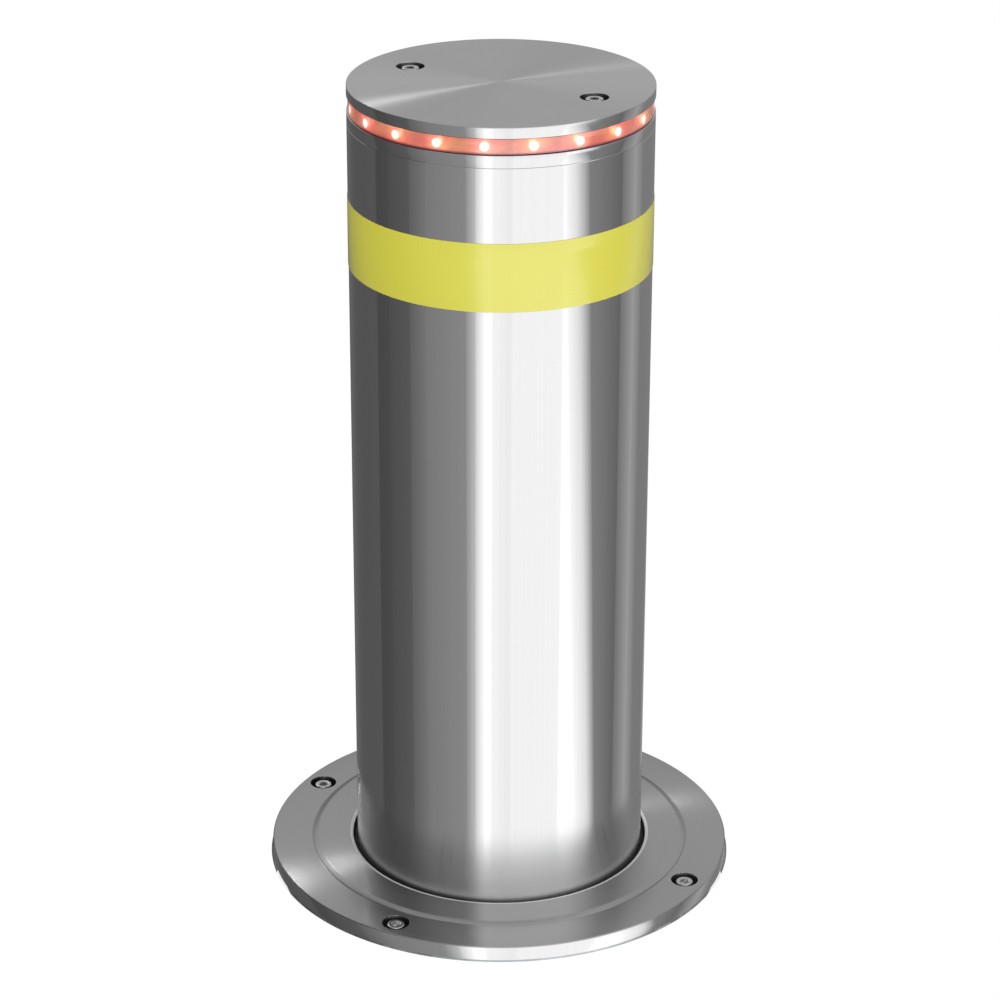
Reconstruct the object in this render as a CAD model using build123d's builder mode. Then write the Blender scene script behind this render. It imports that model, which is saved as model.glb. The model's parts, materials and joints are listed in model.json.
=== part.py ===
from build123d import *
import os
from math import cos, radians, sin, sqrt

# Hydraulic rising bollard, shown up. Millimetres, +Z up.
# The origin is on the column's axis at paving level, under the cover flange.

# Column that rises
column_d = 219.0
column_wall = 6.0
rise = 600.0
tape_t = 0.4
tape_w = 50.0
tape_below_cap = 83.0

# Cover flange at paving level
cover_d = 350.0
cover_rim_t = 11.0
cover_step_h = 1.5
cover_rim_w = 31.0
cover_bevel_w = 4.0
cover_groove_w = 0.8
cover_groove_depth = 0.6
cover_bore_gap = 3.5
cover_edge = 1.0
cover_register_h = 1.0
cover_screw_inset = 15.5
cover_screw_angle = 61.5
cover_recess_d = 20.0
cover_recess_depth = 6.0
cover_screw_length = 18.0
seal_body_w = 10.5
seal_seat_h = 5.0
wiper_gap = 0.8
wiper_lip_t = 1.2
wiper_lip_h = 3.5

# Head of the column, from the top down
cap_rim_t = 8.0
cap_spigot_t = 14.0
cap_edge = 0.6
cap_screw_angle = 150.0
cap_recess_d = 20.5
cap_recess_depth = 8.8
cap_screw_length = 22.0
light_h = 12.0
light_inset = 1.0
light_wall = 6.0
light_seal_t = 0.5
head_ring_h = 9.0
head_spigot_h = 17.5
head_web_t = 8.0
head_web_bore_d = 80.0
head_wall = 9.3
upstand_wall = 4.0
upstand_gap = 1.0
cap_spigot_gap = 0.5
boss_d = 24.0
boss_inset = 7.1
head_screw_inset = 13.0
head_screw_angle = 15.0
head_screw_length = 20.0
led_count = 20
led_angle = 12.0
led_size = 5.0
led_t = 1.6
strip_t = 0.4
strip_h = 9.0

# Piston rod, piston and thrust plate
thrust_plate_t = 16.0
plate_gap = 0.3
rod_d = 45.0
rod_end_d = 24.0
rod_washer_d = 44.0
rod_washer_t = 4.0
nut_flats = 36.0
nut_h = 21.5
rod_end_past_nut = 2.0
rod_edge = 1.0
piston_nut_gap = 0.5
piston_gap = 0.1
piston_crown_t = 28.0
piston_pocket_gap = 1.2
piston_seal_w = 8.0
piston_ring_w = 6.0
piston_ring_inset = 6.0
piston_groove_depth = 4.0

# Cylinder that stands inside the column
cylinder_bore_d = 80.0
cylinder_wall = 7.5
block_wall = 7.5
block_edge = 4.0
gland_below_plate = 30.0
barrel_seat = 8.0
barrel_fit = 0.05
barrel_seal_w = 4.0
barrel_seal_t = 2.5
piston_top_gap = 2.0
piston_end_gap = 3.0
rod_fit = 0.05
throat_gap = 0.5
rod_bush_wall = 4.5
rod_bush_h = 28.0
rod_seal_wall = 6.5
rod_seal_h = 8.0
rod_seal_land = 3.0
rod_wiper_land = 5.0
rod_wiper_wall = 7.5
rod_wiper_h = 8.0
rod_wiper_lip = 2.0
tie_rod_d = 12.0
tie_rod_inset = 13.0
tie_rod_thread = 34.0
tie_nut_flats = 19.0
tie_nut_h = 10.0
tie_rod_past_nut = 3.0
cylinder_bolt_d = 10.0
cylinder_bolt_inset = 4.0
cylinder_bolt_thread = 16.0
cylinder_bolt_angle = 45.0
cylinder_bolt_key = 6.0
bolt_hole_past = 2.0
port_d = 14.0
port_depth_in_block = 13.0
port_pitch = 44.0
drilling_d = 8.0
pipe_angle = 0.0
pipe_d = 12.0
pipe_wall = 1.5
pipe_bend_r = 12.0
pipe_straight = 1.0
fitting_shank = 12.0
fitting_hex = 7.0
fitting_flats = 22.0
fitting_collar = 5.0
fitting_collar_d = 18.0
fitting_socket = 8.0

# Guide sleeve and bushes under the flange
bush_gap = 0.9
bush_wall = 4.1
bush_h = 38.0
bush_inset = 2.0
sleeve_wall = 3.5
sleeve_length = 140.0
sleeve_flange_w = 14.0
sleeve_flange_t = 8.0
sleeve_foot_w = 10.0
sleeve_foot_t = 8.0
sleeve_screw_d = 6.0
sleeve_screw_count = 6
sleeve_screw_angle = 15.0
sleeve_screw_length = 15.0
sleeve_screw_key = 4.0
stop_rubber_t = 21.5
stop_rubber_w = 10.0
stop_gap = 0.5

# Guide ring and shoes on the foot of the column
guide_ring_t = 20.0
guide_ring_w = 17.5
guide_ring_gap = 3.5
guide_spigot_wall = 11.4
guide_spigot_h = 20.0
guide_spigot_gap = 0.1
shoe_t = 15.0
shoe_w = 40.0
shoe_inset = 0.5
shoe_wall_gap = 1.0
shoe_rail_gap = 0.3
shoe_screw_pitch = 24.0
shoe_screw_out = 3.5
shoe_screw_length = 18.0
shoe_recess_d = 11.0
shoe_recess_depth = 7.0
rail_w = 16.0
rail_t = 5.0
rail_count = 3
rail_angle = 0.0
rail_top_gap = 8.0
rail_wall_gap = 0.05
notch_gap = 0.5

# Casing in the ground
casing_wall = 6.0
cover_lap = 7.0
casing_ring_t = 16.0
casing_ring_fit = 0.3
foot_land = 2.0
base_side = 320.0
base_t = 15.0
base_corner = 20.0
anchor_hole_d = 14.0
anchor_hole_inset = 25.0
post_d = 28.0
post_h = 24.5
post_wall_gap = 1.5
post_angle = 60.0
rest_rubber_h = 30.0
rest_rubber_edge = 2.0
spigot_d = 50.0
spigot_wall = 3.0
spigot_above_floor = 3.0
spigot_inset = 1.5
spigot_reach = 45.0
conduit_angle = 90.0
drain_angle = 150.0
ground_bar_d = 12.0
ground_bar_reach = 48.0
ground_bar_drop = 60.0
ground_bar_bend_r = 18.0
ground_bar_top = 150.0
ground_bar_pitch = 400.0
ground_bar_angle = 45.0

# Limit switches
switch_d = 8.0
switch_length = 40.0
switch_head_d = 9.0
switch_head_h = 6.0
switch_sense_gap = 2.0
switch_wall_gap = 1.0
upper_switch_angle = 85.0
lower_switch_angle = 270.0
lower_switch_out = 3.5
switch_slot_w = 10.0
bracket_t = 3.0
bracket_w = 22.0
bracket_arm = 12.0
bracket_foot = 20.0
bracket_h = 36.0
switch_nut_flats = 13.0
switch_nut_h = 4.0
bracket_screw_d = 5.0
bracket_screw_length = 10.0
bracket_screw_head_d = 8.5
bracket_screw_key = 4.0
bracket_screw_key_depth = 2.5

# Screws and gland, by thread diameter
thread_gap = 0.05
hole_gap = 0.3
screw_d = 8.0
screw_head_d = 13.0
screw_head_h = 8.0
low_head_h = 5.0
screw_key = 6.0
screw_key_depth = 4.0
low_key_depth = 2.5
shoe_screw_d = 6.0
shoe_screw_head_d = 10.0
shoe_screw_head_h = 6.0
shoe_screw_key = 5.0
shoe_screw_key_depth = 3.0
countersink_ratio = 2.0
countersink_angle = 90.0
cable_gland_d = 16.0
cable_gland_angle = 240.0
cable_gland_flats = 22.0
cable_gland_hex_h = 5.0
cable_gland_dome_h = 12.0
cable_bore_d = 7.0

# Radii that several pieces share
column_r = column_d / 2
tube_bore_r = column_r - column_wall
cover_r = cover_d / 2
cover_bore_r = column_r + cover_bore_gap
cover_screw_r = cover_r - cover_screw_inset
step_foot_r = cover_r - cover_rim_w
step_top_r = step_foot_r - cover_bevel_w
wiper_r = column_r + wiper_gap
seal_seat_r = wiper_r + wiper_lip_t + seal_body_w
bush_bore_r = column_r + bush_gap
sleeve_bore_r = bush_bore_r + bush_wall
sleeve_r = sleeve_bore_r + sleeve_wall
sleeve_flange_r = sleeve_r + sleeve_flange_w
sleeve_foot_r = sleeve_r + sleeve_foot_w
sleeve_screw_r = sleeve_r + sleeve_flange_w / 2
guide_ring_r = column_r + guide_ring_w
casing_bore_r = guide_ring_r + guide_ring_gap
casing_r = casing_bore_r + casing_wall
casing_ring_r = cover_r - cover_lap
post_at_r = casing_bore_r - post_wall_gap - post_d / 2
switch_r = sleeve_r + switch_wall_gap + switch_d / 2
lower_switch_r = column_r + lower_switch_out
spigot_r = spigot_d / 2
light_r = column_r - light_inset
light_bore_r = light_r - light_wall
head_r = tube_bore_r - guide_spigot_gap
guide_ring_bore_r = head_r - guide_spigot_wall
head_bore_r = head_r - head_wall
cap_screw_r = head_bore_r - boss_inset - boss_d / 2
head_screw_r = cap_screw_r - head_screw_inset
upstand_r = head_bore_r + upstand_wall
barrel_bore_r = cylinder_bore_d / 2
barrel_r = barrel_bore_r + cylinder_wall
block_side = 2 * (barrel_r + block_wall)
tie_rod_pitch = block_side - 2 * tie_rod_inset
cylinder_bolt_r = barrel_bore_r - cylinder_bolt_inset
piston_r = barrel_bore_r - piston_gap
rod_r = rod_d / 2
rod_end_r = rod_end_d / 2
rail_face_r = sqrt(casing_bore_r**2 - (rail_w / 2) ** 2) - rail_wall_gap
rail_inner_r = rail_face_r - rail_t
shoe_inner_r = tube_bore_r + shoe_inset
shoe_screw_r = column_r + shoe_screw_out
screw_r = screw_d / 2

# Heights of the ground unit
cover_top = cover_rim_t + cover_step_h
sleeve_bottom = -sleeve_length - sleeve_foot_t
stop_bottom = sleeve_bottom - stop_rubber_t
column_bottom = stop_bottom - stop_gap
guide_ring_bottom = column_bottom - guide_ring_t
floor_z = guide_ring_bottom - rise - stop_gap - rest_rubber_h - post_h
base_bottom = floor_z - base_t
spigot_z = floor_z + spigot_above_floor + spigot_r

# Heights of the column, up
cap_top = cover_top + rise
cap_rim_z = cap_top - cap_rim_t
cap_spigot_z = cap_top - cap_spigot_t
light_z = cap_rim_z - light_h
tube_top = light_z - head_ring_h
head_bottom = tube_top - head_spigot_h
web_top = head_bottom + head_web_t
thrust_plate_z = head_bottom - thrust_plate_t
tape_top = cap_top - tape_below_cap
tape_bottom = tape_top - tape_w

# Heights of the cylinder
gland_h = barrel_seat + rod_bush_h + rod_seal_land + rod_seal_h + rod_wiper_land + rod_wiper_h
gland_top = thrust_plate_z - rise - gland_below_plate
gland_bottom = gland_top - gland_h
barrel_top = gland_bottom + barrel_seat
piston_top = gland_bottom - piston_top_gap
piston_length = piston_crown_t + nut_h + piston_nut_gap
piston_bottom = piston_top - piston_length
block_top = piston_bottom - rise - piston_end_gap
barrel_bottom = block_top - barrel_seat
block_port_z = barrel_bottom - port_depth_in_block
gland_port_z = gland_bottom + barrel_seat + rod_bush_h / 2
bush_pocket_z = barrel_top + rod_bush_h
seal_groove_z = bush_pocket_z + rod_seal_land
rod_wiper_z = gland_top - rod_wiper_h
pipe_x = block_side / 2 + fitting_hex + fitting_collar + pipe_straight + pipe_bend_r

os.makedirs("parts", exist_ok=True)


def socket_screw(thread_d, head_d, head_h, length, key, key_depth):
    """Hex socket screw with the underside of its head on the origin."""
    with BuildPart() as screw:
        with BuildSketch():
            Circle(head_d / 2)
        extrude(amount=head_h)
        chamfer(screw.edges().group_by(Axis.Z)[-1], length=head_d / 20)
        with BuildSketch():
            Circle(thread_d / 2)
        extrude(amount=-length)
        with BuildSketch(Plane.XY.offset(head_h)):
            RegularPolygon(key / 2, 6, major_radius=False)
        extrude(amount=-key_depth, mode=Mode.SUBTRACT)
    return screw.part


def countersunk_screw(thread_d, length, key):
    """Countersunk hex socket screw with the top of its head on the origin."""
    head_r = thread_d * countersink_ratio / 2
    cone_h = head_r - thread_d / 2
    with BuildPart() as screw:
        with BuildSketch(Plane.XZ):
            with BuildLine():
                Polyline(
                    (0, 0),
                    (head_r, 0),
                    (thread_d / 2, -cone_h),
                    (thread_d / 2, -length),
                    (0, -length),
                    close=True,
                )
            make_face()
        revolve(axis=Axis.Z)
        with BuildSketch():
            RegularPolygon(key / 2, 6, major_radius=False)
        extrude(amount=-cone_h, mode=Mode.SUBTRACT)
    return screw.part


def hex_nut(thread_d, flats, height):
    """Hex nut that stands on the origin."""
    with BuildPart() as nut:
        with BuildSketch():
            RegularPolygon(flats / 2, 6, major_radius=False)
            Circle(thread_d / 2 + thread_gap, mode=Mode.SUBTRACT)
        extrude(amount=height)
    return nut.part


def pipe_fitting():
    """Screwed pipe fitting that points along +Z, its hex seated on the origin."""
    collar_top = fitting_hex + fitting_collar
    with BuildPart() as fitting:
        with BuildSketch():
            Circle(port_d / 2 - thread_gap)
        extrude(amount=-fitting_shank)
        with BuildSketch():
            RegularPolygon(fitting_flats / 2, 6, major_radius=False)
        extrude(amount=fitting_hex)
        with BuildSketch(Plane.XY.offset(fitting_hex)):
            Circle(fitting_collar_d / 2)
        extrude(amount=fitting_collar)
        with BuildSketch(Plane.XY.offset(collar_top)):
            Circle(drilling_d / 2)
        extrude(amount=-collar_top - fitting_shank, mode=Mode.SUBTRACT)
        with BuildSketch(Plane.XY.offset(collar_top)):
            Circle(pipe_d / 2 + thread_gap)
        extrude(amount=-fitting_socket, mode=Mode.SUBTRACT)
    return fitting.part


def outward(radius, angle, z):
    """Plane at a radius and an angle whose normal points away from the axis."""
    turn = radians(angle)
    return Plane(
        origin=(radius * cos(turn), radius * sin(turn), z),
        x_dir=(-sin(turn), cos(turn), 0),
        z_dir=(cos(turn), sin(turn), 0),
    )


# Cover flange: one turned ring with a raised centre and a groove at its foot.
# A shallow register under it drops over the casing top ring and centres it.
with BuildPart() as cover_flange:
    with BuildSketch(Plane.XZ):
        with BuildLine():
            Polyline(
                (seal_seat_r, 0),
                (sleeve_flange_r, 0),
                (sleeve_flange_r, cover_register_h),
                (casing_ring_r + casing_ring_fit, cover_register_h),
                (casing_ring_r + casing_ring_fit, 0),
                (cover_r, 0),
                (cover_r, cover_rim_t - cover_edge),
                (cover_r - cover_edge, cover_rim_t),
                (step_foot_r + cover_groove_w, cover_rim_t),
                (step_foot_r + cover_groove_w, cover_rim_t - cover_groove_depth),
                (step_foot_r, cover_rim_t - cover_groove_depth),
                (step_foot_r, cover_rim_t),
                (step_top_r, cover_top),
                (cover_bore_r + cover_edge, cover_top),
                (cover_bore_r, cover_top - cover_edge),
                (cover_bore_r, seal_seat_h),
                (seal_seat_r, seal_seat_h),
                close=True,
            )
        make_face()
    revolve(axis=Axis.Z)
    with Locations((0, 0, cover_rim_t)):
        with PolarLocations(cover_screw_r, 4, cover_screw_angle):
            CounterBoreHole(screw_r + hole_gap, cover_recess_d / 2, cover_recess_depth)
cover_flange.part.label = "cover_flange"
export_step(cover_flange.part, "parts/cover_flange.step")

# Four low-head screws that clamp the cover flange to the casing
cover_screw = socket_screw(
    screw_d, screw_head_d, low_head_h, cover_screw_length, screw_key, low_key_depth
)
with BuildPart() as cover_screws:
    with Locations((0, 0, cover_rim_t - cover_recess_depth)):
        with PolarLocations(cover_screw_r, 4, cover_screw_angle):
            add(cover_screw)
cover_screws.part.label = "cover_screws"
export_step(cover_screws.part, "parts/cover_screws.step")

# Wiper seal: a rubber ring in the flange with a lip that leans up to the column
with BuildPart() as wiper_seal:
    with BuildSketch(Plane.XZ):
        with BuildLine():
            Polyline(
                (wiper_r + wiper_lip_t, 0),
                (seal_seat_r, 0),
                (seal_seat_r, seal_seat_h),
                (cover_bore_r - hole_gap, seal_seat_h),
                (wiper_r + wiper_lip_t, seal_seat_h + wiper_lip_h),
                (wiper_r, seal_seat_h + wiper_lip_h),
                (wiper_r, seal_seat_h),
                close=True,
            )
        make_face()
    revolve(axis=Axis.Z)
wiper_seal.part.label = "wiper_seal"
export_step(wiper_seal.part, "parts/wiper_seal.step")

# Casing top ring, with a rebate that carries the guide sleeve
rebate_r = sleeve_flange_r + casing_ring_fit
ledge_r = sleeve_r + casing_ring_fit
with BuildPart() as casing_top_ring:
    with BuildSketch(Plane.XZ):
        with BuildLine():
            Polyline(
                (rebate_r, cover_register_h),
                (casing_ring_r, cover_register_h),
                (casing_ring_r, -casing_ring_t),
                (ledge_r, -casing_ring_t),
                (ledge_r, -sleeve_flange_t),
                (rebate_r, -sleeve_flange_t),
                close=True,
            )
        make_face()
    revolve(axis=Axis.Z)
    with PolarLocations(cover_screw_r, 4, cover_screw_angle):
        Hole(screw_r + thread_gap)
    with BuildSketch(Plane.XY.offset(-sleeve_flange_t)):
        with PolarLocations(sleeve_screw_r, sleeve_screw_count, sleeve_screw_angle):
            Circle(sleeve_screw_d / 2 + thread_gap)
    extrude(amount=sleeve_flange_t - casing_ring_t, mode=Mode.SUBTRACT)
casing_top_ring.part.label = "casing_top_ring"
export_step(casing_top_ring.part, "parts/casing_top_ring.step")

# Casing tube, from the top ring down to its foot
foot_top = spigot_z + spigot_r + foot_land
with BuildPart() as casing_tube:
    with BuildSketch(Plane.XY.offset(foot_top)):
        Circle(casing_r)
        Circle(casing_bore_r, mode=Mode.SUBTRACT)
    extrude(amount=-casing_ring_t - foot_top)
casing_tube.part.label = "casing_tube"
export_step(casing_tube.part, "parts/casing_tube.step")

# Casing foot: a short tube welded under the casing, pierced for conduit and drain
with BuildPart() as casing_foot:
    with BuildSketch(Plane.XY.offset(floor_z)):
        Circle(casing_r)
        Circle(casing_bore_r, mode=Mode.SUBTRACT)
    extrude(amount=foot_top - floor_z)
    with BuildSketch(outward(0, conduit_angle, spigot_z)):
        Circle(spigot_r)
    extrude(amount=2 * casing_r, mode=Mode.SUBTRACT)
    with BuildSketch(outward(0, drain_angle, spigot_z)):
        Circle(spigot_r)
    extrude(amount=2 * casing_r, mode=Mode.SUBTRACT)
casing_foot.part.label = "casing_foot"
export_step(casing_foot.part, "parts/casing_foot.step")

# Square base plate with a hole in each corner and four countersinks under it
anchor_hole_pitch = base_side - 2 * anchor_hole_inset
with BuildPart() as casing_base_plate:
    with BuildSketch(Plane.XY.offset(base_bottom)):
        RectangleRounded(base_side, base_side, base_corner)
        with GridLocations(anchor_hole_pitch, anchor_hole_pitch, 2, 2):
            Circle(anchor_hole_d / 2, mode=Mode.SUBTRACT)
    extrude(amount=base_t)
    with Locations((0, 0, base_bottom)):
        with PolarLocations(cylinder_bolt_r, 4, cylinder_bolt_angle):
            with Locations(Rotation(180, 0, 0)):
                CounterSinkHole(
                    cylinder_bolt_d / 2 + thread_gap,
                    cylinder_bolt_d * countersink_ratio / 2,
                    counter_sink_angle=countersink_angle,
                )
    with BuildSketch(Plane.XY.offset(floor_z)):
        with PolarLocations(lower_switch_r, 1, lower_switch_angle):
            with Locations((0, bracket_arm + bracket_foot / 2)):
                Circle(bracket_screw_d / 2 + thread_gap)
    extrude(amount=-bracket_screw_length, mode=Mode.SUBTRACT)
casing_base_plate.part.label = "casing_base_plate"
export_step(casing_base_plate.part, "parts/casing_base_plate.step")

# Ground anchors: bent bars welded to the casing, to be cast into the concrete
with BuildPart() as ground_bar:
    with BuildLine(Plane.XZ) as bar_path:
        FilletPolyline(
            (casing_r, 0),
            (casing_r + ground_bar_reach, 0),
            (casing_r + ground_bar_reach, -ground_bar_drop),
            radius=ground_bar_bend_r,
        )
    with BuildSketch(Plane(origin=bar_path.line @ 0, z_dir=bar_path.line % 0)):
        Circle(ground_bar_d / 2)
    sweep()
with BuildPart() as ground_anchors:
    with Locations((0, 0, -ground_bar_top), (0, 0, -ground_bar_top - ground_bar_pitch)):
        with PolarLocations(0, 4, ground_bar_angle):
            add(ground_bar.part)
ground_anchors.part.label = "ground_anchors"
export_step(ground_anchors.part, "parts/ground_anchors.step")

# Conduit spigot: a short tube through the foot of the casing for hoses and cable
spigot_start = sqrt(casing_bore_r**2 - spigot_r**2) - spigot_inset
spigot_length = casing_r + spigot_reach - spigot_start
with BuildPart() as conduit_spigot:
    with BuildSketch(outward(spigot_start, conduit_angle, spigot_z)):
        Circle(spigot_r)
        Circle(spigot_r - spigot_wall, mode=Mode.SUBTRACT)
    extrude(amount=spigot_length)
conduit_spigot.part.label = "conduit_spigot"
export_step(conduit_spigot.part, "parts/conduit_spigot.step")

# Drain spigot: the same tube, for rain water
with BuildPart() as drain_spigot:
    with BuildSketch(outward(spigot_start, drain_angle, spigot_z)):
        Circle(spigot_r)
        Circle(spigot_r - spigot_wall, mode=Mode.SUBTRACT)
    extrude(amount=spigot_length)
drain_spigot.part.label = "drain_spigot"
export_step(drain_spigot.part, "parts/drain_spigot.step")

# Guide sleeve: hangs in the casing top ring and holds both bushes
with BuildPart() as guide_sleeve:
    with BuildSketch(Plane.XZ):
        with BuildLine():
            Polyline(
                (sleeve_bore_r, 0),
                (sleeve_flange_r, 0),
                (sleeve_flange_r, -sleeve_flange_t),
                (sleeve_r, -sleeve_flange_t),
                (sleeve_r, -sleeve_length),
                (sleeve_foot_r, -sleeve_length),
                (sleeve_foot_r, sleeve_bottom),
                (sleeve_bore_r, sleeve_bottom),
                close=True,
            )
        make_face()
    revolve(axis=Axis.Z)
    with PolarLocations(sleeve_screw_r, sleeve_screw_count, sleeve_screw_angle):
        CounterSinkHole(
            sleeve_screw_d / 2 + thread_gap,
            sleeve_screw_d * countersink_ratio / 2,
            depth=sleeve_flange_t,
            counter_sink_angle=countersink_angle,
        )
    with BuildSketch(Plane.XY.offset(sleeve_bottom)):
        with PolarLocations(switch_r, 1, upper_switch_angle):
            Circle(switch_d / 2 + thread_gap)
    extrude(amount=sleeve_foot_t, mode=Mode.SUBTRACT)
guide_sleeve.part.label = "guide_sleeve"
export_step(guide_sleeve.part, "parts/guide_sleeve.step")

# Countersunk screws that hold the guide sleeve
sleeve_screw = countersunk_screw(sleeve_screw_d, sleeve_screw_length, sleeve_screw_key)
with BuildPart() as guide_sleeve_screws:
    with PolarLocations(sleeve_screw_r, sleeve_screw_count, sleeve_screw_angle):
        add(sleeve_screw)
guide_sleeve_screws.part.label = "guide_sleeve_screws"
export_step(guide_sleeve_screws.part, "parts/guide_sleeve_screws.step")

# Bushes that the column slides in, one near each end of the sleeve
with BuildPart() as upper_guide_bush:
    with BuildSketch(Plane.XY.offset(-bush_inset)):
        Circle(sleeve_bore_r)
        Circle(bush_bore_r, mode=Mode.SUBTRACT)
    extrude(amount=-bush_h)
upper_guide_bush.part.label = "upper_guide_bush"
export_step(upper_guide_bush.part, "parts/upper_guide_bush.step")

with BuildPart() as lower_guide_bush:
    with BuildSketch(Plane.XY.offset(bush_inset - sleeve_length)):
        Circle(sleeve_bore_r)
        Circle(bush_bore_r, mode=Mode.SUBTRACT)
    extrude(amount=bush_h)
lower_guide_bush.part.label = "lower_guide_bush"
export_step(lower_guide_bush.part, "parts/lower_guide_bush.step")

# Rubber ring under the sleeve that the guide ring meets at the top of the stroke
with BuildPart() as rise_stop_buffer:
    with BuildSketch(Plane.XY.offset(stop_bottom)):
        Circle(sleeve_bore_r + stop_rubber_w)
        Circle(sleeve_bore_r, mode=Mode.SUBTRACT)
        with PolarLocations(switch_r, 1, upper_switch_angle):
            Rectangle(2 * stop_rubber_w, switch_slot_w, mode=Mode.SUBTRACT)
    extrude(amount=stop_rubber_t)
rise_stop_buffer.part.label = "rise_stop_buffer"
export_step(rise_stop_buffer.part, "parts/rise_stop_buffer.step")

# Rails welded inside the casing, which keep the column from turning
rail_top = sleeve_bottom - rail_top_gap
with BuildPart() as guide_rails:
    with BuildSketch(Plane.XY.offset(floor_z)):
        with PolarLocations(rail_face_r - rail_t / 2, rail_count, rail_angle):
            Rectangle(rail_t, rail_w)
    extrude(amount=rail_top - floor_z)
guide_rails.part.label = "guide_rails"
export_step(guide_rails.part, "parts/guide_rails.step")

# Posts on the base plate, with the rubbers that the lowered column sits on
with BuildPart() as buffer_posts:
    with BuildSketch(Plane.XY.offset(floor_z)):
        with PolarLocations(post_at_r, 3, post_angle):
            Circle(post_d / 2)
    extrude(amount=post_h)
buffer_posts.part.label = "buffer_posts"
export_step(buffer_posts.part, "parts/buffer_posts.step")

with BuildPart() as rest_buffers:
    with BuildSketch(Plane.XY.offset(floor_z + post_h)):
        with PolarLocations(post_at_r, 3, post_angle):
            Circle(post_d / 2)
    extrude(amount=rest_rubber_h)
    chamfer(rest_buffers.edges().group_by(Axis.Z)[-1], length=rest_rubber_edge)
rest_buffers.part.label = "rest_buffers"
export_step(rest_buffers.part, "parts/rest_buffers.step")

# Cylinder base block: barrel seat on top, two hose ports, and a drilling to the pipe
barrel_seat_r = barrel_r + barrel_fit
barrel_groove_r = barrel_r + barrel_seal_t
barrel_groove_inset = (barrel_seat - barrel_seal_w) / 2
port_r = port_d / 2
with BuildPart() as cylinder_base_block:
    with BuildSketch(Plane.XY.offset(floor_z)):
        Rectangle(block_side, block_side)
    extrude(amount=block_top - floor_z)
    chamfer(cylinder_base_block.edges().filter_by(Axis.Z), length=block_edge)
    with BuildSketch(Plane.XY.offset(barrel_bottom)):
        Circle(barrel_seat_r)
    extrude(amount=barrel_seat, mode=Mode.SUBTRACT)
    with BuildSketch(Plane.XY.offset(barrel_bottom + barrel_groove_inset)):
        Circle(barrel_groove_r)
    extrude(amount=barrel_seal_w, mode=Mode.SUBTRACT)
    with BuildSketch(Plane.XY.offset(block_top)):
        with GridLocations(tie_rod_pitch, tie_rod_pitch, 2, 2):
            Circle(tie_rod_d / 2 + thread_gap)
    extrude(amount=-tie_rod_thread - tie_rod_past_nut, mode=Mode.SUBTRACT)
    with BuildSketch(Plane.XY.offset(floor_z)):
        with PolarLocations(cylinder_bolt_r, 4, cylinder_bolt_angle):
            Circle(cylinder_bolt_d / 2 + thread_gap)
    extrude(amount=cylinder_bolt_thread + bolt_hole_past, mode=Mode.SUBTRACT)
    with BuildSketch(outward(block_side / 2, conduit_angle, block_port_z)):
        with GridLocations(port_pitch, 0, 2, 1):
            Circle(port_r)
    extrude(amount=-block_side / 2, mode=Mode.SUBTRACT)
    with BuildSketch(outward(block_side / 2, pipe_angle, block_port_z)):
        Circle(port_r)
    extrude(amount=-(block_side - port_pitch) / 2, mode=Mode.SUBTRACT)
    with BuildSketch(Plane.XY.offset(barrel_bottom)):
        with Locations((-port_pitch / 2, 0)):
            Circle(drilling_d / 2)
    extrude(amount=-port_depth_in_block, mode=Mode.SUBTRACT)
cylinder_base_block.part.label = "cylinder_base_block"
export_step(cylinder_base_block.part, "parts/cylinder_base_block.step")

# Countersunk bolts that hold the base block, put in from under the base plate
cylinder_bolt = countersunk_screw(
    cylinder_bolt_d, base_t + cylinder_bolt_thread, cylinder_bolt_key
)
with BuildPart() as cylinder_bolts:
    with Locations((0, 0, base_bottom)):
        with PolarLocations(cylinder_bolt_r, 4, cylinder_bolt_angle):
            with Locations(Rotation(180, 0, 0)):
                add(cylinder_bolt)
cylinder_bolts.part.label = "cylinder_bolts"
export_step(cylinder_bolts.part, "parts/cylinder_bolts.step")

# Cylinder barrel and the seals round its two ends
with BuildPart() as cylinder_barrel:
    with BuildSketch(Plane.XY.offset(barrel_bottom)):
        Circle(barrel_r)
        Circle(barrel_bore_r, mode=Mode.SUBTRACT)
    extrude(amount=barrel_top - barrel_bottom)
cylinder_barrel.part.label = "cylinder_barrel"
export_step(cylinder_barrel.part, "parts/cylinder_barrel.step")

lower_seal_z = barrel_bottom + barrel_groove_inset
upper_seal_z = barrel_top - barrel_groove_inset - barrel_seal_w
with BuildPart() as barrel_seals:
    for seal_z in (lower_seal_z, upper_seal_z):
        with BuildSketch(Plane.XY.offset(seal_z)):
            Circle(barrel_groove_r)
            Circle(barrel_r, mode=Mode.SUBTRACT)
        extrude(amount=barrel_seal_w)
barrel_seals.part.label = "barrel_seals"
export_step(barrel_seals.part, "parts/barrel_seals.step")

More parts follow.
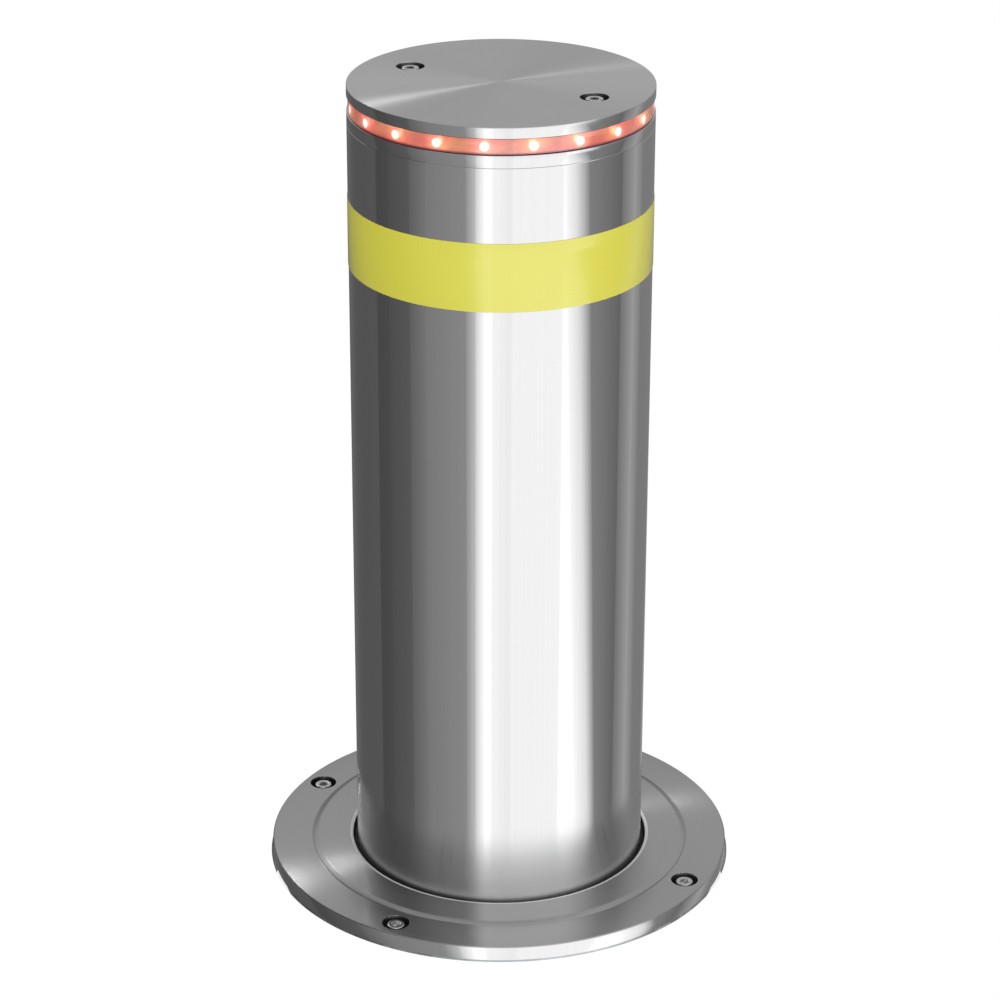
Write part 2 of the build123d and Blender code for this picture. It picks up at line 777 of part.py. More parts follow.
# Gland block: closes the cylinder and holds the rod's bush, seal and wiper
rod_bush_bore_r = rod_r + rod_fit
rod_bush_r = rod_bush_bore_r + rod_bush_wall
rod_seal_r = rod_bush_bore_r + rod_seal_wall
rod_wiper_r = rod_bush_bore_r + rod_wiper_wall
throat_r = rod_r + throat_gap
gland_drilling_r = (rod_bush_r + barrel_bore_r) / 2
with BuildPart() as gland_block:
    with BuildSketch(Plane.XY.offset(gland_bottom)):
        Rectangle(block_side, block_side)
    extrude(amount=gland_h)
    chamfer(gland_block.edges().filter_by(Axis.Z), length=block_edge)
    with BuildSketch(Plane.XZ):
        with BuildLine():
            Polyline(
                (0, gland_bottom),
                (barrel_seat_r, gland_bottom),
                (barrel_seat_r, barrel_top),
                (rod_bush_r, barrel_top),
                (rod_bush_r, bush_pocket_z),
                (throat_r, bush_pocket_z),
                (throat_r, seal_groove_z),
                (rod_seal_r, seal_groove_z),
                (rod_seal_r, seal_groove_z + rod_seal_h),
                (throat_r, seal_groove_z + rod_seal_h),
                (throat_r, rod_wiper_z),
                (rod_wiper_r, rod_wiper_z),
                (rod_wiper_r, gland_top),
                (0, gland_top),
                close=True,
            )
        make_face()
    revolve(axis=Axis.Z, mode=Mode.SUBTRACT)
    with BuildSketch(Plane.XY.offset(upper_seal_z)):
        Circle(barrel_groove_r)
    extrude(amount=barrel_seal_w, mode=Mode.SUBTRACT)
    with BuildSketch(Plane.XY.offset(gland_bottom)):
        with GridLocations(tie_rod_pitch, tie_rod_pitch, 2, 2):
            Circle(tie_rod_d / 2 + hole_gap)
    extrude(amount=gland_h, mode=Mode.SUBTRACT)
    with BuildSketch(outward(block_side / 2, pipe_angle, gland_port_z)):
        Circle(port_r)
    extrude(amount=gland_drilling_r - block_side / 2, mode=Mode.SUBTRACT)
    with BuildSketch(Plane.XY.offset(barrel_top)):
        with PolarLocations(gland_drilling_r, 1, pipe_angle):
            Circle(drilling_d / 2)
    extrude(amount=gland_port_z - barrel_top, mode=Mode.SUBTRACT)
gland_block.part.label = "gland_block"
export_step(gland_block.part, "parts/gland_block.step")

# Bush, seal and wiper that run on the rod
with BuildPart() as rod_guide_bush:
    with BuildSketch(Plane.XY.offset(barrel_top)):
        Circle(rod_bush_r)
        Circle(rod_bush_bore_r, mode=Mode.SUBTRACT)
    extrude(amount=rod_bush_h)
rod_guide_bush.part.label = "rod_guide_bush"
export_step(rod_guide_bush.part, "parts/rod_guide_bush.step")

with BuildPart() as rod_seal:
    with BuildSketch(Plane.XY.offset(seal_groove_z)):
        Circle(rod_seal_r)
        Circle(rod_bush_bore_r, mode=Mode.SUBTRACT)
    extrude(amount=rod_seal_h)
rod_seal.part.label = "rod_seal"
export_step(rod_seal.part, "parts/rod_seal.step")

with BuildPart() as rod_wiper:
    with BuildSketch(Plane.XZ):
        with BuildLine():
            Polyline(
                (rod_bush_bore_r, rod_wiper_z),
                (rod_wiper_r, rod_wiper_z),
                (rod_wiper_r, gland_top),
                (rod_bush_bore_r + rod_wiper_lip, gland_top + rod_wiper_lip),
                (rod_bush_bore_r, gland_top + rod_wiper_lip),
                close=True,
            )
        make_face()
    revolve(axis=Axis.Z)
rod_wiper.part.label = "rod_wiper"
export_step(rod_wiper.part, "parts/rod_wiper.step")

# Tie rods that clamp the gland block down on the barrel, and their nuts
tie_rod_bottom = block_top - tie_rod_thread
tie_rod_top = gland_top + tie_nut_h + tie_rod_past_nut
with BuildPart() as tie_rods:
    with BuildSketch(Plane.XY.offset(tie_rod_bottom)):
        with GridLocations(tie_rod_pitch, tie_rod_pitch, 2, 2):
            Circle(tie_rod_d / 2)
    extrude(amount=tie_rod_top - tie_rod_bottom)
tie_rods.part.label = "tie_rods"
export_step(tie_rods.part, "parts/tie_rods.step")

tie_rod_nut = hex_nut(tie_rod_d, tie_nut_flats, tie_nut_h)
with BuildPart() as tie_rod_nuts:
    with Locations((0, 0, gland_top)):
        with GridLocations(tie_rod_pitch, tie_rod_pitch, 2, 2):
            add(tie_rod_nut)
tie_rod_nuts.part.label = "tie_rod_nuts"
export_step(tie_rod_nuts.part, "parts/tie_rod_nuts.step")

# Return pipe beside the barrel, with a bend into a fitting at each end
fitting = pipe_fitting()
with BuildPart() as pipe_fittings:
    with Locations(
        outward(block_side / 2, pipe_angle, block_port_z),
        outward(block_side / 2, pipe_angle, gland_port_z),
    ):
        add(fitting)
pipe_fittings.part.label = "pipe_fittings"
export_step(pipe_fittings.part, "parts/pipe_fittings.step")

pipe_end_x = block_side / 2 + fitting_hex + fitting_collar - fitting_socket
with BuildPart() as return_pipe:
    with BuildLine(Plane.XZ) as pipe_path:
        FilletPolyline(
            (pipe_end_x, block_port_z),
            (pipe_x, block_port_z),
            (pipe_x, gland_port_z),
            (pipe_end_x, gland_port_z),
            radius=pipe_bend_r,
        )
    with BuildSketch(Plane(origin=pipe_path.line @ 0, z_dir=pipe_path.line % 0)):
        Circle(pipe_d / 2)
        Circle(pipe_d / 2 - pipe_wall, mode=Mode.SUBTRACT)
    sweep()
return_pipe.part.label = "return_pipe"
export_step(return_pipe.part, "parts/return_pipe.step")

# Hose adapters on the base block, which face the conduit
with BuildPart() as hose_adapters:
    with Locations(outward(block_side / 2, conduit_angle, block_port_z)):
        with GridLocations(port_pitch, 0, 2, 1):
            add(fitting)
hose_adapters.part.label = "hose_adapters"
export_step(hose_adapters.part, "parts/hose_adapters.step")

# Upper limit switch, screwed into the foot of the sleeve, looking down
upper_tip_z = column_bottom + switch_sense_gap
with BuildPart() as upper_limit_switch:
    with BuildSketch(Plane.XY.offset(upper_tip_z)):
        with PolarLocations(switch_r, 1, upper_switch_angle):
            Circle(switch_d / 2)
    extrude(amount=switch_length)
    with BuildSketch(Plane.XY.offset(upper_tip_z + switch_length)):
        with PolarLocations(switch_r, 1, upper_switch_angle):
            Circle(switch_head_d / 2)
    extrude(amount=switch_head_h)
upper_limit_switch.part.label = "upper_limit_switch"
export_step(upper_limit_switch.part, "parts/upper_limit_switch.step")

# Lower limit switch, which looks up at the guide ring of the lowered column
lower_tip_z = guide_ring_bottom - rise - switch_sense_gap
with BuildPart() as lower_limit_switch:
    with BuildSketch(Plane.XY.offset(lower_tip_z)):
        with PolarLocations(lower_switch_r, 1, lower_switch_angle):
            Circle(switch_d / 2)
    extrude(amount=-switch_length)
    with BuildSketch(Plane.XY.offset(lower_tip_z - switch_length)):
        with PolarLocations(lower_switch_r, 1, lower_switch_angle):
            Circle(switch_head_d / 2)
    extrude(amount=-switch_head_h)
lower_limit_switch.part.label = "lower_limit_switch"
export_step(lower_limit_switch.part, "parts/lower_limit_switch.step")

# Folded bracket that carries the lower switch, its arm and foot turned apart
switch_turn = radians(lower_switch_angle)
bracket_plane = Plane(
    origin=(lower_switch_r * cos(switch_turn), lower_switch_r * sin(switch_turn), floor_z),
    x_dir=(-sin(switch_turn), cos(switch_turn), 0),
    z_dir=(cos(switch_turn), sin(switch_turn), 0),
)
bracket_screw_at = bracket_arm + bracket_foot / 2
with BuildPart() as lower_switch_bracket:
    with BuildSketch(bracket_plane.offset(-bracket_w / 2)):
        with BuildLine():
            Polyline(
                (-bracket_arm, bracket_h),
                (bracket_arm, bracket_h),
                (bracket_arm, bracket_t),
                (bracket_arm + bracket_foot, bracket_t),
                (bracket_arm + bracket_foot, 0),
                (bracket_arm - bracket_t, 0),
                (bracket_arm - bracket_t, bracket_h - bracket_t),
                (-bracket_arm, bracket_h - bracket_t),
                close=True,
            )
        make_face()
    extrude(amount=bracket_w)
    with BuildSketch(Plane.XY.offset(floor_z + bracket_h)):
        with PolarLocations(lower_switch_r, 1, lower_switch_angle):
            Circle(switch_d / 2 + hole_gap)
    extrude(amount=-bracket_t, mode=Mode.SUBTRACT)
    with BuildSketch(Plane.XY.offset(floor_z)):
        with PolarLocations(lower_switch_r, 1, lower_switch_angle):
            with Locations((0, bracket_screw_at)):
                Circle(bracket_screw_d / 2 + hole_gap)
    extrude(amount=bracket_t, mode=Mode.SUBTRACT)
lower_switch_bracket.part.label = "lower_switch_bracket"
export_step(lower_switch_bracket.part, "parts/lower_switch_bracket.step")

switch_nut = hex_nut(switch_d, switch_nut_flats, switch_nut_h)
arm_top_z = floor_z + bracket_h
with BuildPart() as lower_switch_nuts:
    with Locations((0, 0, arm_top_z), (0, 0, arm_top_z - bracket_t - switch_nut_h)):
        with PolarLocations(lower_switch_r, 1, lower_switch_angle):
            add(switch_nut)
lower_switch_nuts.part.label = "lower_switch_nuts"
export_step(lower_switch_nuts.part, "parts/lower_switch_nuts.step")

bracket_fixing = socket_screw(
    bracket_screw_d,
    bracket_screw_head_d,
    bracket_screw_d,
    bracket_screw_length,
    bracket_screw_key,
    bracket_screw_key_depth,
)
with BuildPart() as bracket_screw:
    with Locations((0, 0, floor_z + bracket_t)):
        with PolarLocations(lower_switch_r, 1, lower_switch_angle):
            with Locations((0, bracket_screw_at)):
                add(bracket_fixing)
bracket_screw.part.label = "bracket_screw"
export_step(bracket_screw.part, "parts/bracket_screw.step")

# Column tube, brushed stainless, open at both ends
with BuildPart() as column_tube:
    with BuildSketch(Plane.XY.offset(column_bottom)):
        Circle(column_r)
        Circle(tube_bore_r, mode=Mode.SUBTRACT)
    extrude(amount=tube_top - column_bottom)
column_tube.part.label = "column_tube"
export_step(column_tube.part, "parts/column_tube.step")

# Reflective band round the column
with BuildPart() as reflective_band:
    with BuildSketch(Plane.XY.offset(tape_bottom)):
        Circle(column_r + tape_t)
        Circle(column_r, mode=Mode.SUBTRACT)
    extrude(amount=tape_w)
reflective_band.part.label = "reflective_band"
export_step(reflective_band.part, "parts/reflective_band.step")

# Head ring: welded into the tube, with a web, two screw bosses and an upstand
cap_spigot_r = head_bore_r - cap_spigot_gap
with BuildPart() as head_ring:
    with BuildSketch(Plane.XZ):
        with BuildLine():
            Polyline(
                (head_web_bore_d / 2, head_bottom),
                (head_r, head_bottom),
                (head_r, tube_top),
                (column_r, tube_top),
                (column_r, light_z),
                (upstand_r, light_z),
                (upstand_r, cap_rim_z - upstand_gap),
                (head_bore_r, cap_rim_z - upstand_gap),
                (head_bore_r, web_top),
                (head_web_bore_d / 2, web_top),
                close=True,
            )
        make_face()
    revolve(axis=Axis.Z)
    with BuildSketch(Plane.XY.offset(web_top)):
        with PolarLocations(cap_screw_r, 2, cap_screw_angle):
            Circle(boss_d / 2)
    extrude(amount=cap_spigot_z - web_top)
    with BuildSketch(Plane.XY.offset(cap_spigot_z)):
        with PolarLocations(cap_screw_r, 2, cap_screw_angle):
            Circle(screw_r + thread_gap)
    extrude(amount=web_top - cap_spigot_z, mode=Mode.SUBTRACT)
    with BuildSketch(Plane.XY.offset(head_bottom)):
        with PolarLocations(head_screw_r, 4, head_screw_angle):
            Circle(screw_r + hole_gap)
        with PolarLocations(head_screw_r, 1, cable_gland_angle):
            Circle(cable_gland_d / 2 + hole_gap)
    extrude(amount=head_web_t, mode=Mode.SUBTRACT)
head_ring.part.label = "head_ring"
export_step(head_ring.part, "parts/head_ring.step")

# Light ring: clear red ring, clamped between two flat seals
with BuildPart() as light_ring:
    with BuildSketch(Plane.XY.offset(light_z + light_seal_t)):
        Circle(light_r)
        Circle(light_bore_r, mode=Mode.SUBTRACT)
    extrude(amount=light_h - 2 * light_seal_t)
light_ring.part.label = "light_ring"
export_step(light_ring.part, "parts/light_ring.step")

with BuildPart() as light_ring_seals:
    for seal_z in (light_z, cap_rim_z - light_seal_t):
        with BuildSketch(Plane.XY.offset(seal_z)):
            Circle(light_r)
            Circle(light_bore_r, mode=Mode.SUBTRACT)
        extrude(amount=light_seal_t)
light_ring_seals.part.label = "light_ring_seals"
export_step(light_ring_seals.part, "parts/light_ring_seals.step")

# Lamp strip round the upstand, and the lamps on it
strip_r = upstand_r + strip_t
light_mid_z = light_z + light_h / 2
with BuildPart() as led_strip:
    with BuildSketch(Plane.XY.offset(light_mid_z - strip_h / 2)):
        Circle(strip_r)
        Circle(upstand_r, mode=Mode.SUBTRACT)
    extrude(amount=strip_h)
led_strip.part.label = "led_strip"
export_step(led_strip.part, "parts/led_strip.step")

with BuildPart() as led_lamps:
    with Locations((0, 0, light_mid_z)):
        with PolarLocations(strip_r + led_t / 2, led_count, led_angle):
            Box(led_t, led_size, led_size)
led_lamps.part.label = "led_lamps"
export_step(led_lamps.part, "parts/led_lamps.step")

# Top cap: turned disc with a spigot under it and two screw recesses
with BuildPart() as top_cap:
    with BuildSketch(Plane.XZ):
        with BuildLine():
            Polyline(
                (0, cap_spigot_z),
                (cap_spigot_r, cap_spigot_z),
                (cap_spigot_r, cap_rim_z),
                (column_r, cap_rim_z),
                (column_r, cap_top - cap_edge),
                (column_r - cap_edge, cap_top),
                (0, cap_top),
                close=True,
            )
        make_face()
    revolve(axis=Axis.Z)
    with Locations((0, 0, cap_top)):
        with PolarLocations(cap_screw_r, 2, cap_screw_angle):
            CounterBoreHole(screw_r + hole_gap, cap_recess_d / 2, cap_recess_depth)
top_cap.part.label = "top_cap"
export_step(top_cap.part, "parts/top_cap.step")

cap_screw = socket_screw(
    screw_d, screw_head_d, screw_head_h, cap_screw_length, screw_key, screw_key_depth
)
with BuildPart() as cap_screws:
    with Locations((0, 0, cap_top - cap_recess_depth)):
        with PolarLocations(cap_screw_r, 2, cap_screw_angle):
            add(cap_screw)
cap_screws.part.label = "cap_screws"
export_step(cap_screws.part, "parts/cap_screws.step")

# Thrust plate: the rod pushes on it, and it pushes the head ring up
with BuildPart() as thrust_plate:
    with BuildSketch(Plane.XY.offset(thrust_plate_z)):
        Circle(tube_bore_r - plate_gap)
        Circle(rod_end_r + hole_gap, mode=Mode.SUBTRACT)
        with PolarLocations(head_screw_r, 4, head_screw_angle):
            Circle(screw_r + thread_gap, mode=Mode.SUBTRACT)
        with PolarLocations(head_screw_r, 1, cable_gland_angle):
            Circle(cable_gland_d / 2 + hole_gap, mode=Mode.SUBTRACT)
    extrude(amount=thrust_plate_t)
thrust_plate.part.label = "thrust_plate"
export_step(thrust_plate.part, "parts/thrust_plate.step")

head_screw = socket_screw(
    screw_d, screw_head_d, screw_head_h, head_screw_length, screw_key, screw_key_depth
)
with BuildPart() as head_screws:
    with Locations((0, 0, web_top)):
        with PolarLocations(head_screw_r, 4, head_screw_angle):
            add(head_screw)
head_screws.part.label = "head_screws"
export_step(head_screws.part, "parts/head_screws.step")

# Gland for the lamp cable: a hex above the web, a screwed body and a dome below
gland_nut_z = thrust_plate_z - cable_gland_hex_h
gland_dome_z = gland_nut_z - cable_gland_dome_h
with BuildPart() as cable_gland:
    with BuildSketch(Plane.XY.offset(gland_dome_z)):
        Circle(cable_gland_d / 2)
    extrude(amount=web_top + cable_gland_hex_h - gland_dome_z)
    chamfer(cable_gland.edges().group_by(Axis.Z)[0], length=cable_gland_d / 6)
    for hex_z in (gland_nut_z, web_top):
        with BuildSketch(Plane.XY.offset(hex_z)):
            RegularPolygon(cable_gland_flats / 2, 6, major_radius=False)
        extrude(amount=cable_gland_hex_h)
    Hole(cable_bore_d / 2)
with BuildPart() as lamp_cable_gland:
    with PolarLocations(head_screw_r, 1, cable_gland_angle):
        add(cable_gland.part)
lamp_cable_gland.part.label = "lamp_cable_gland"
export_step(lamp_cable_gland.part, "parts/lamp_cable_gland.step")

# Piston rod: shouldered at both ends
rod_top = head_bottom + rod_washer_t + nut_h + rod_end_past_nut
rod_bottom = piston_top - piston_crown_t - nut_h
with BuildPart() as piston_rod:
    with BuildSketch(Plane.XZ):
        with BuildLine():
            Polyline(
                (0, rod_bottom),
                (rod_end_r - rod_edge, rod_bottom),
                (rod_end_r, rod_bottom + rod_edge),
                (rod_end_r, piston_top),
                (rod_r - rod_edge, piston_top),
                (rod_r, piston_top + rod_edge),
                (rod_r, thrust_plate_z - rod_edge),
                (rod_r - rod_edge, thrust_plate_z),
                (rod_end_r, thrust_plate_z),
                (rod_end_r, rod_top - rod_edge),
                (rod_end_r - rod_edge, rod_top),
                (0, rod_top),
                close=True,
            )
        make_face()
    revolve(axis=Axis.Z)
piston_rod.part.label = "piston_rod"
export_step(piston_rod.part, "parts/piston_rod.step")

with BuildPart() as rod_washer:
    with BuildSketch(Plane.XY.offset(head_bottom)):
        Circle(rod_washer_d / 2)
        Circle(rod_end_r + hole_gap, mode=Mode.SUBTRACT)
    extrude(amount=rod_washer_t)
rod_washer.part.label = "rod_washer"
export_step(rod_washer.part, "parts/rod_washer.step")

end_nut = hex_nut(rod_end_d, nut_flats, nut_h)
with BuildPart() as rod_nut:
    with Locations((0, 0, head_bottom + rod_washer_t)):
        add(end_nut)
rod_nut.part.label = "rod_nut"
export_step(rod_nut.part, "parts/rod_nut.step")

with BuildPart() as piston_nut:
    with Locations((0, 0, rod_bottom)):
        add(end_nut)
piston_nut.part.label = "piston_nut"
export_step(piston_nut.part, "parts/piston_nut.step")

# Piston: a seal in the middle, a wear ring each side, and a pocket for its nut
piston_mid = (piston_top + piston_bottom) / 2
piston_seal_z = piston_mid - piston_seal_w / 2
lower_ring_z = piston_bottom + piston_ring_inset
upper_ring_z = piston_top - piston_ring_inset - piston_ring_w
groove_floor_r = piston_r - piston_groove_depth
piston_run_r = barrel_bore_r - rod_fit
piston_pocket_r = nut_flats / sqrt(3) + piston_pocket_gap
with BuildPart() as piston:
    with BuildSketch(Plane.XY.offset(piston_bottom)):
        Circle(piston_r)
        Circle(rod_end_r + thread_gap, mode=Mode.SUBTRACT)
    extrude(amount=piston_length)
    with BuildSketch(Plane.XY.offset(piston_bottom)):
        Circle(piston_pocket_r)
    extrude(amount=piston_length - piston_crown_t, mode=Mode.SUBTRACT)
    for groove_z, groove_w in (
        (lower_ring_z, piston_ring_w),
        (piston_seal_z, piston_seal_w),
        (upper_ring_z, piston_ring_w),
    ):
        with BuildSketch(Plane.XY.offset(groove_z)):
            Circle(barrel_bore_r)
            Circle(groove_floor_r, mode=Mode.SUBTRACT)
        extrude(amount=groove_w, mode=Mode.SUBTRACT)
piston.part.label = "piston"
export_step(piston.part, "parts/piston.step")

with BuildPart() as piston_seal:
    with BuildSketch(Plane.XY.offset(piston_seal_z)):
        Circle(piston_run_r)
        Circle(groove_floor_r, mode=Mode.SUBTRACT)
    extrude(amount=piston_seal_w)
piston_seal.part.label = "piston_seal"
export_step(piston_seal.part, "parts/piston_seal.step")

with BuildPart() as piston_wear_rings:
    for ring_z in (lower_ring_z, upper_ring_z):
        with BuildSketch(Plane.XY.offset(ring_z)):
            Circle(piston_run_r)
            Circle(groove_floor_r, mode=Mode.SUBTRACT)
        extrude(amount=piston_ring_w)
piston_wear_rings.part.label = "piston_wear_rings"
export_step(piston_wear_rings.part, "parts/piston_wear_rings.step")

# Lower guide ring: welded on the foot of the tube, notched for the rails
notch_r = rail_inner_r - notch_gap
with BuildPart() as lower_guide_ring:
    with BuildSketch(Plane.XZ):
        with BuildLine():
            Polyline(
                (guide_ring_bore_r, guide_ring_bottom),
                (guide_ring_r, guide_ring_bottom),
                (guide_ring_r, column_bottom),
                (head_r, column_bottom),
                (head_r, column_bottom + guide_spigot_h),
                (guide_ring_bore_r, column_bottom + guide_spigot_h),
                close=True,
            )
        make_face()
    revolve(axis=Axis.Z)
    with BuildSketch(Plane.XY.offset(guide_ring_bottom)):
        with PolarLocations(notch_r + rail_t / 2, rail_count, rail_angle):
            Rectangle(rail_t, rail_w + 2 * notch_gap)
        with PolarLocations(shoe_screw_r, rail_count, rail_angle):
            with Locations((0, -shoe_screw_pitch / 2), (0, shoe_screw_pitch / 2)):
                Circle(shoe_screw_d / 2 + thread_gap)
    extrude(amount=guide_ring_t, mode=Mode.SUBTRACT)
lower_guide_ring.part.label = "lower_guide_ring"
export_step(lower_guide_ring.part, "parts/lower_guide_ring.step")

# Nylon guide shoes under the ring, each straddling a rail
shoe_bottom = guide_ring_bottom - shoe_t
shoe_r = casing_bore_r - shoe_wall_gap
shoe_length = casing_bore_r - shoe_inner_r
shoe_notch_r = rail_inner_r - shoe_rail_gap
with BuildPart() as guide_shoes:
    with BuildSketch(Plane.XY.offset(shoe_bottom)):
        with PolarLocations(shoe_inner_r + shoe_length / 2, rail_count, rail_angle):
            Rectangle(shoe_length, shoe_w)
        Circle(shoe_r, mode=Mode.INTERSECT)
        with PolarLocations(shoe_notch_r + shoe_length / 2, rail_count, rail_angle):
            Rectangle(shoe_length, rail_w + 2 * shoe_rail_gap, mode=Mode.SUBTRACT)
    extrude(amount=shoe_t)
    with Locations((0, 0, shoe_bottom)):
        with PolarLocations(shoe_screw_r, rail_count, rail_angle):
            with Locations((0, -shoe_screw_pitch / 2), (0, shoe_screw_pitch / 2)):
                with Locations(Rotation(180, 0, 0)):
                    CounterBoreHole(
                        shoe_screw_d / 2 + hole_gap, shoe_recess_d / 2, shoe_recess_depth
                    )
guide_shoes.part.label = "guide_shoes"
export_step(guide_shoes.part, "parts/guide_shoes.step")

shoe_screw = socket_screw(
    shoe_screw_d,
    shoe_screw_head_d,
    shoe_screw_head_h,
    shoe_screw_length,
    shoe_screw_key,
    shoe_screw_key_depth,
)
with BuildPart() as guide_shoe_screws:
    with Locations((0, 0, shoe_bottom + shoe_recess_depth)):
        with PolarLocations(shoe_screw_r, rail_count, rail_angle):
            with Locations((0, -shoe_screw_pitch / 2), (0, shoe_screw_pitch / 2)):
                with Locations(Rotation(180, 0, 0)):
                    add(shoe_screw)
guide_shoe_screws.part.label = "guide_shoe_screws"
export_step(guide_shoe_screws.part, "parts/guide_shoe_screws.step")
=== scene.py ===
# %% [markdown]
# # A rising bollard in stainless steel
#
# The object is a street bollard that a hydraulic ram lifts out of the paving. What shows is a
# brushed stainless tube, 219 mm across and 600 mm tall, with a turned cap, a red light ring under
# the cap, a yellow reflective band, and a flat turned flange that frames the hole in the paving.
# Below the paving hang the casing, the ram, the guides and the stops.
#
# The solid model already has every part in its place, in metres, with the origin on the column's
# axis at paving level. This script dresses it: parts that are seen close up are turned again with
# rounded edges and fine surfaces, the others keep their solids and get their real finish.

import json
import math

import bmesh
import bpy
import numpy as np
from mathutils import Matrix, Vector


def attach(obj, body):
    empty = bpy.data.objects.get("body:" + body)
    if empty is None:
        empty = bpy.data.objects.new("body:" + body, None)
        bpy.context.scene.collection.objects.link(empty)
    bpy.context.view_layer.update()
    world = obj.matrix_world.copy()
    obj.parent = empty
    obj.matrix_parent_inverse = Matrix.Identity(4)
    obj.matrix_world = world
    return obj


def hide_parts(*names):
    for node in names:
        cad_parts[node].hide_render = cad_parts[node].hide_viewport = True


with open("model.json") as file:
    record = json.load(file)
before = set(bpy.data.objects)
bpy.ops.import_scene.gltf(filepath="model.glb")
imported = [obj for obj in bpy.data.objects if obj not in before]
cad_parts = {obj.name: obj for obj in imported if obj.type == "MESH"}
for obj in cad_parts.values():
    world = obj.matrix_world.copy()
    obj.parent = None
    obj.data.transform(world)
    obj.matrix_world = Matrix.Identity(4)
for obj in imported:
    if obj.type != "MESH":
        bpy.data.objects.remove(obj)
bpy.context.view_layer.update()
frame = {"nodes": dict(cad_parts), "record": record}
nodes = frame["nodes"]
MM = 0.001


# %% [markdown]
# ## Turning a ring on the lathe
#
# Nearly all of this object is turned, so one helper does most of the work. It takes the outline of
# a section as points of radius and height, rounds each corner a little, and sweeps it round the
# axis. Real edges are never perfectly sharp: a tool leaves a radius of a few tenths of a
# millimetre, and that thin curved strip is what catches a line of light along every edge.

# %% Lathe helpers
def rounded(points, radius, steps=3):
    """The same closed outline with each corner replaced by a small arc, where it fits."""
    out = []
    count = len(points)
    for i in range(count):
        before, here, after = (Vector(points[j % count]) for j in (i - 1, i, i + 1))
        a, b = before - here, after - here
        cut = min(radius, a.length * 0.45, b.length * 0.45)
        if cut < 1e-4 or here.x < 1e-6 or abs(a.normalized().cross(b.normalized())) < 0.05:
            out.append(tuple(here))
            continue
        start, end = here + a.normalized() * cut, here + b.normalized() * cut
        for k in range(steps + 1):
            t = k / steps
            p = start * (1 - t) ** 2 + here * (2 * t * (1 - t)) + end * t**2
            out.append((p.x, p.y))
    return out


def lathe_mesh(name, points, segments=360, centre=(0.0, 0.0), start=0.0):
    """A closed outline in mm swept round an axis. A radius may be a function of the angle."""
    turns = np.linspace(0, 2 * math.pi, segments, endpoint=False) + start
    verts, rows = [], []
    for radius, height in points:
        if not callable(radius) and radius < 1e-6:
            rows.append([len(verts)])
            verts.append((centre[0] * MM, centre[1] * MM, height * MM))
            continue
        row = []
        for turn in turns:
            r = radius(turn) if callable(radius) else radius
            row.append(len(verts))
            x, y = centre[0] + r * math.cos(turn), centre[1] + r * math.sin(turn)
            verts.append((x * MM, y * MM, height * MM))
        rows.append(row)
    faces = []
    count = len(rows)
    for i in range(count):
        low, high = rows[i], rows[(i + 1) % count]
        if len(low) == 1 and len(high) == 1:
            continue
        for k in range(segments):
            n = (k + 1) % segments
            if len(low) == 1:
                faces.append((low[0], high[k], high[n]))
            elif len(high) == 1:
                faces.append((low[k], high[0], low[n]))
            else:
                faces.append((low[k], high[k], high[n], low[n]))
    mesh = bpy.data.meshes.new(name)
    mesh.from_pydata(verts, [], faces)
    work = bmesh.new()
    work.from_mesh(mesh)
    bmesh.ops.recalc_face_normals(work, faces=work.faces)
    work.to_mesh(mesh)
    work.free()
    return mesh


def smooth(mesh, angle=32):
    """Smooth shading, with the edges that turn more than this many degrees left crisp."""
    mesh.polygons.foreach_set("use_smooth", [True] * len(mesh.polygons))
    mesh.set_sharp_from_angle(angle=math.radians(angle))


def joined(name, meshes):
    """Several meshes as one."""
    work = bmesh.new()
    for mesh in meshes:
        work.from_mesh(mesh)
        bpy.data.meshes.remove(mesh)
    out = bpy.data.meshes.new(name)
    work.to_mesh(out)
    work.free()
    return out


def piece(mesh, body, replaced=()):
    """Puts a mesh into the scene as a piece that rides on a body."""
    smooth(mesh)
    obj = bpy.data.objects.new(mesh.name, mesh)
    bpy.context.scene.collection.objects.link(obj)
    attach(obj, body)
    if replaced:
        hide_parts(*replaced)
    return obj


def cut_out(obj, tools):
    """Cuts closed meshes out of a piece for good."""
    for mesh in tools:
        tool = bpy.data.objects.new("tool", mesh)
        bpy.context.scene.collection.objects.link(tool)
        step = obj.modifiers.new("cut", "BOOLEAN")
        step.operation, step.solver, step.object = "DIFFERENCE", "EXACT", tool
        bpy.context.view_layer.update()
        after = obj.evaluated_get(bpy.context.evaluated_depsgraph_get())
        done = bpy.data.meshes.new_from_object(after)
        obj.modifiers.remove(step)
        obj.data = done
        bpy.data.objects.remove(tool)
        bpy.data.meshes.remove(mesh)
    smooth(obj.data)


def at_angle(radius, degrees):
    """A place on a circle round the axis, by its compass angle."""
    return radius * math.cos(math.radians(degrees)), radius * math.sin(math.radians(degrees))


# %% [markdown]
# ## The column tube
#
# A drawn stainless tube with a 6 mm wall, ground on a belt machine while it turns, so that its
# brush lines run round it. The tube is a plain cylinder: what gives it life is the finish. Its ends
# are broken with a small radius where the head ring is welded on and ground flush. A ring of points
# stands close to each end, so that the smooth shading of the small radius doesn't bend the
# reflections along the whole tube.

# %% Column tube
COLUMN_R, BORE_R = 109.5, 103.5
FOOT_Z, TUBE_TOP = -170.0, 583.5
tube = piece(
    lathe_mesh(
        "column_tube_turned",
        rounded(
            [
                (BORE_R, FOOT_Z),
                (COLUMN_R, FOOT_Z),
                (COLUMN_R, FOOT_Z + 2),
                (COLUMN_R, TUBE_TOP - 1),
                (COLUMN_R, TUBE_TOP),
                (BORE_R, TUBE_TOP),
            ],
            0.45,
        ),
        segments=512,
    ),
    "column",
    ["column_tube"],
)
print("tube turned:", len(tube.data.polygons), "faces")

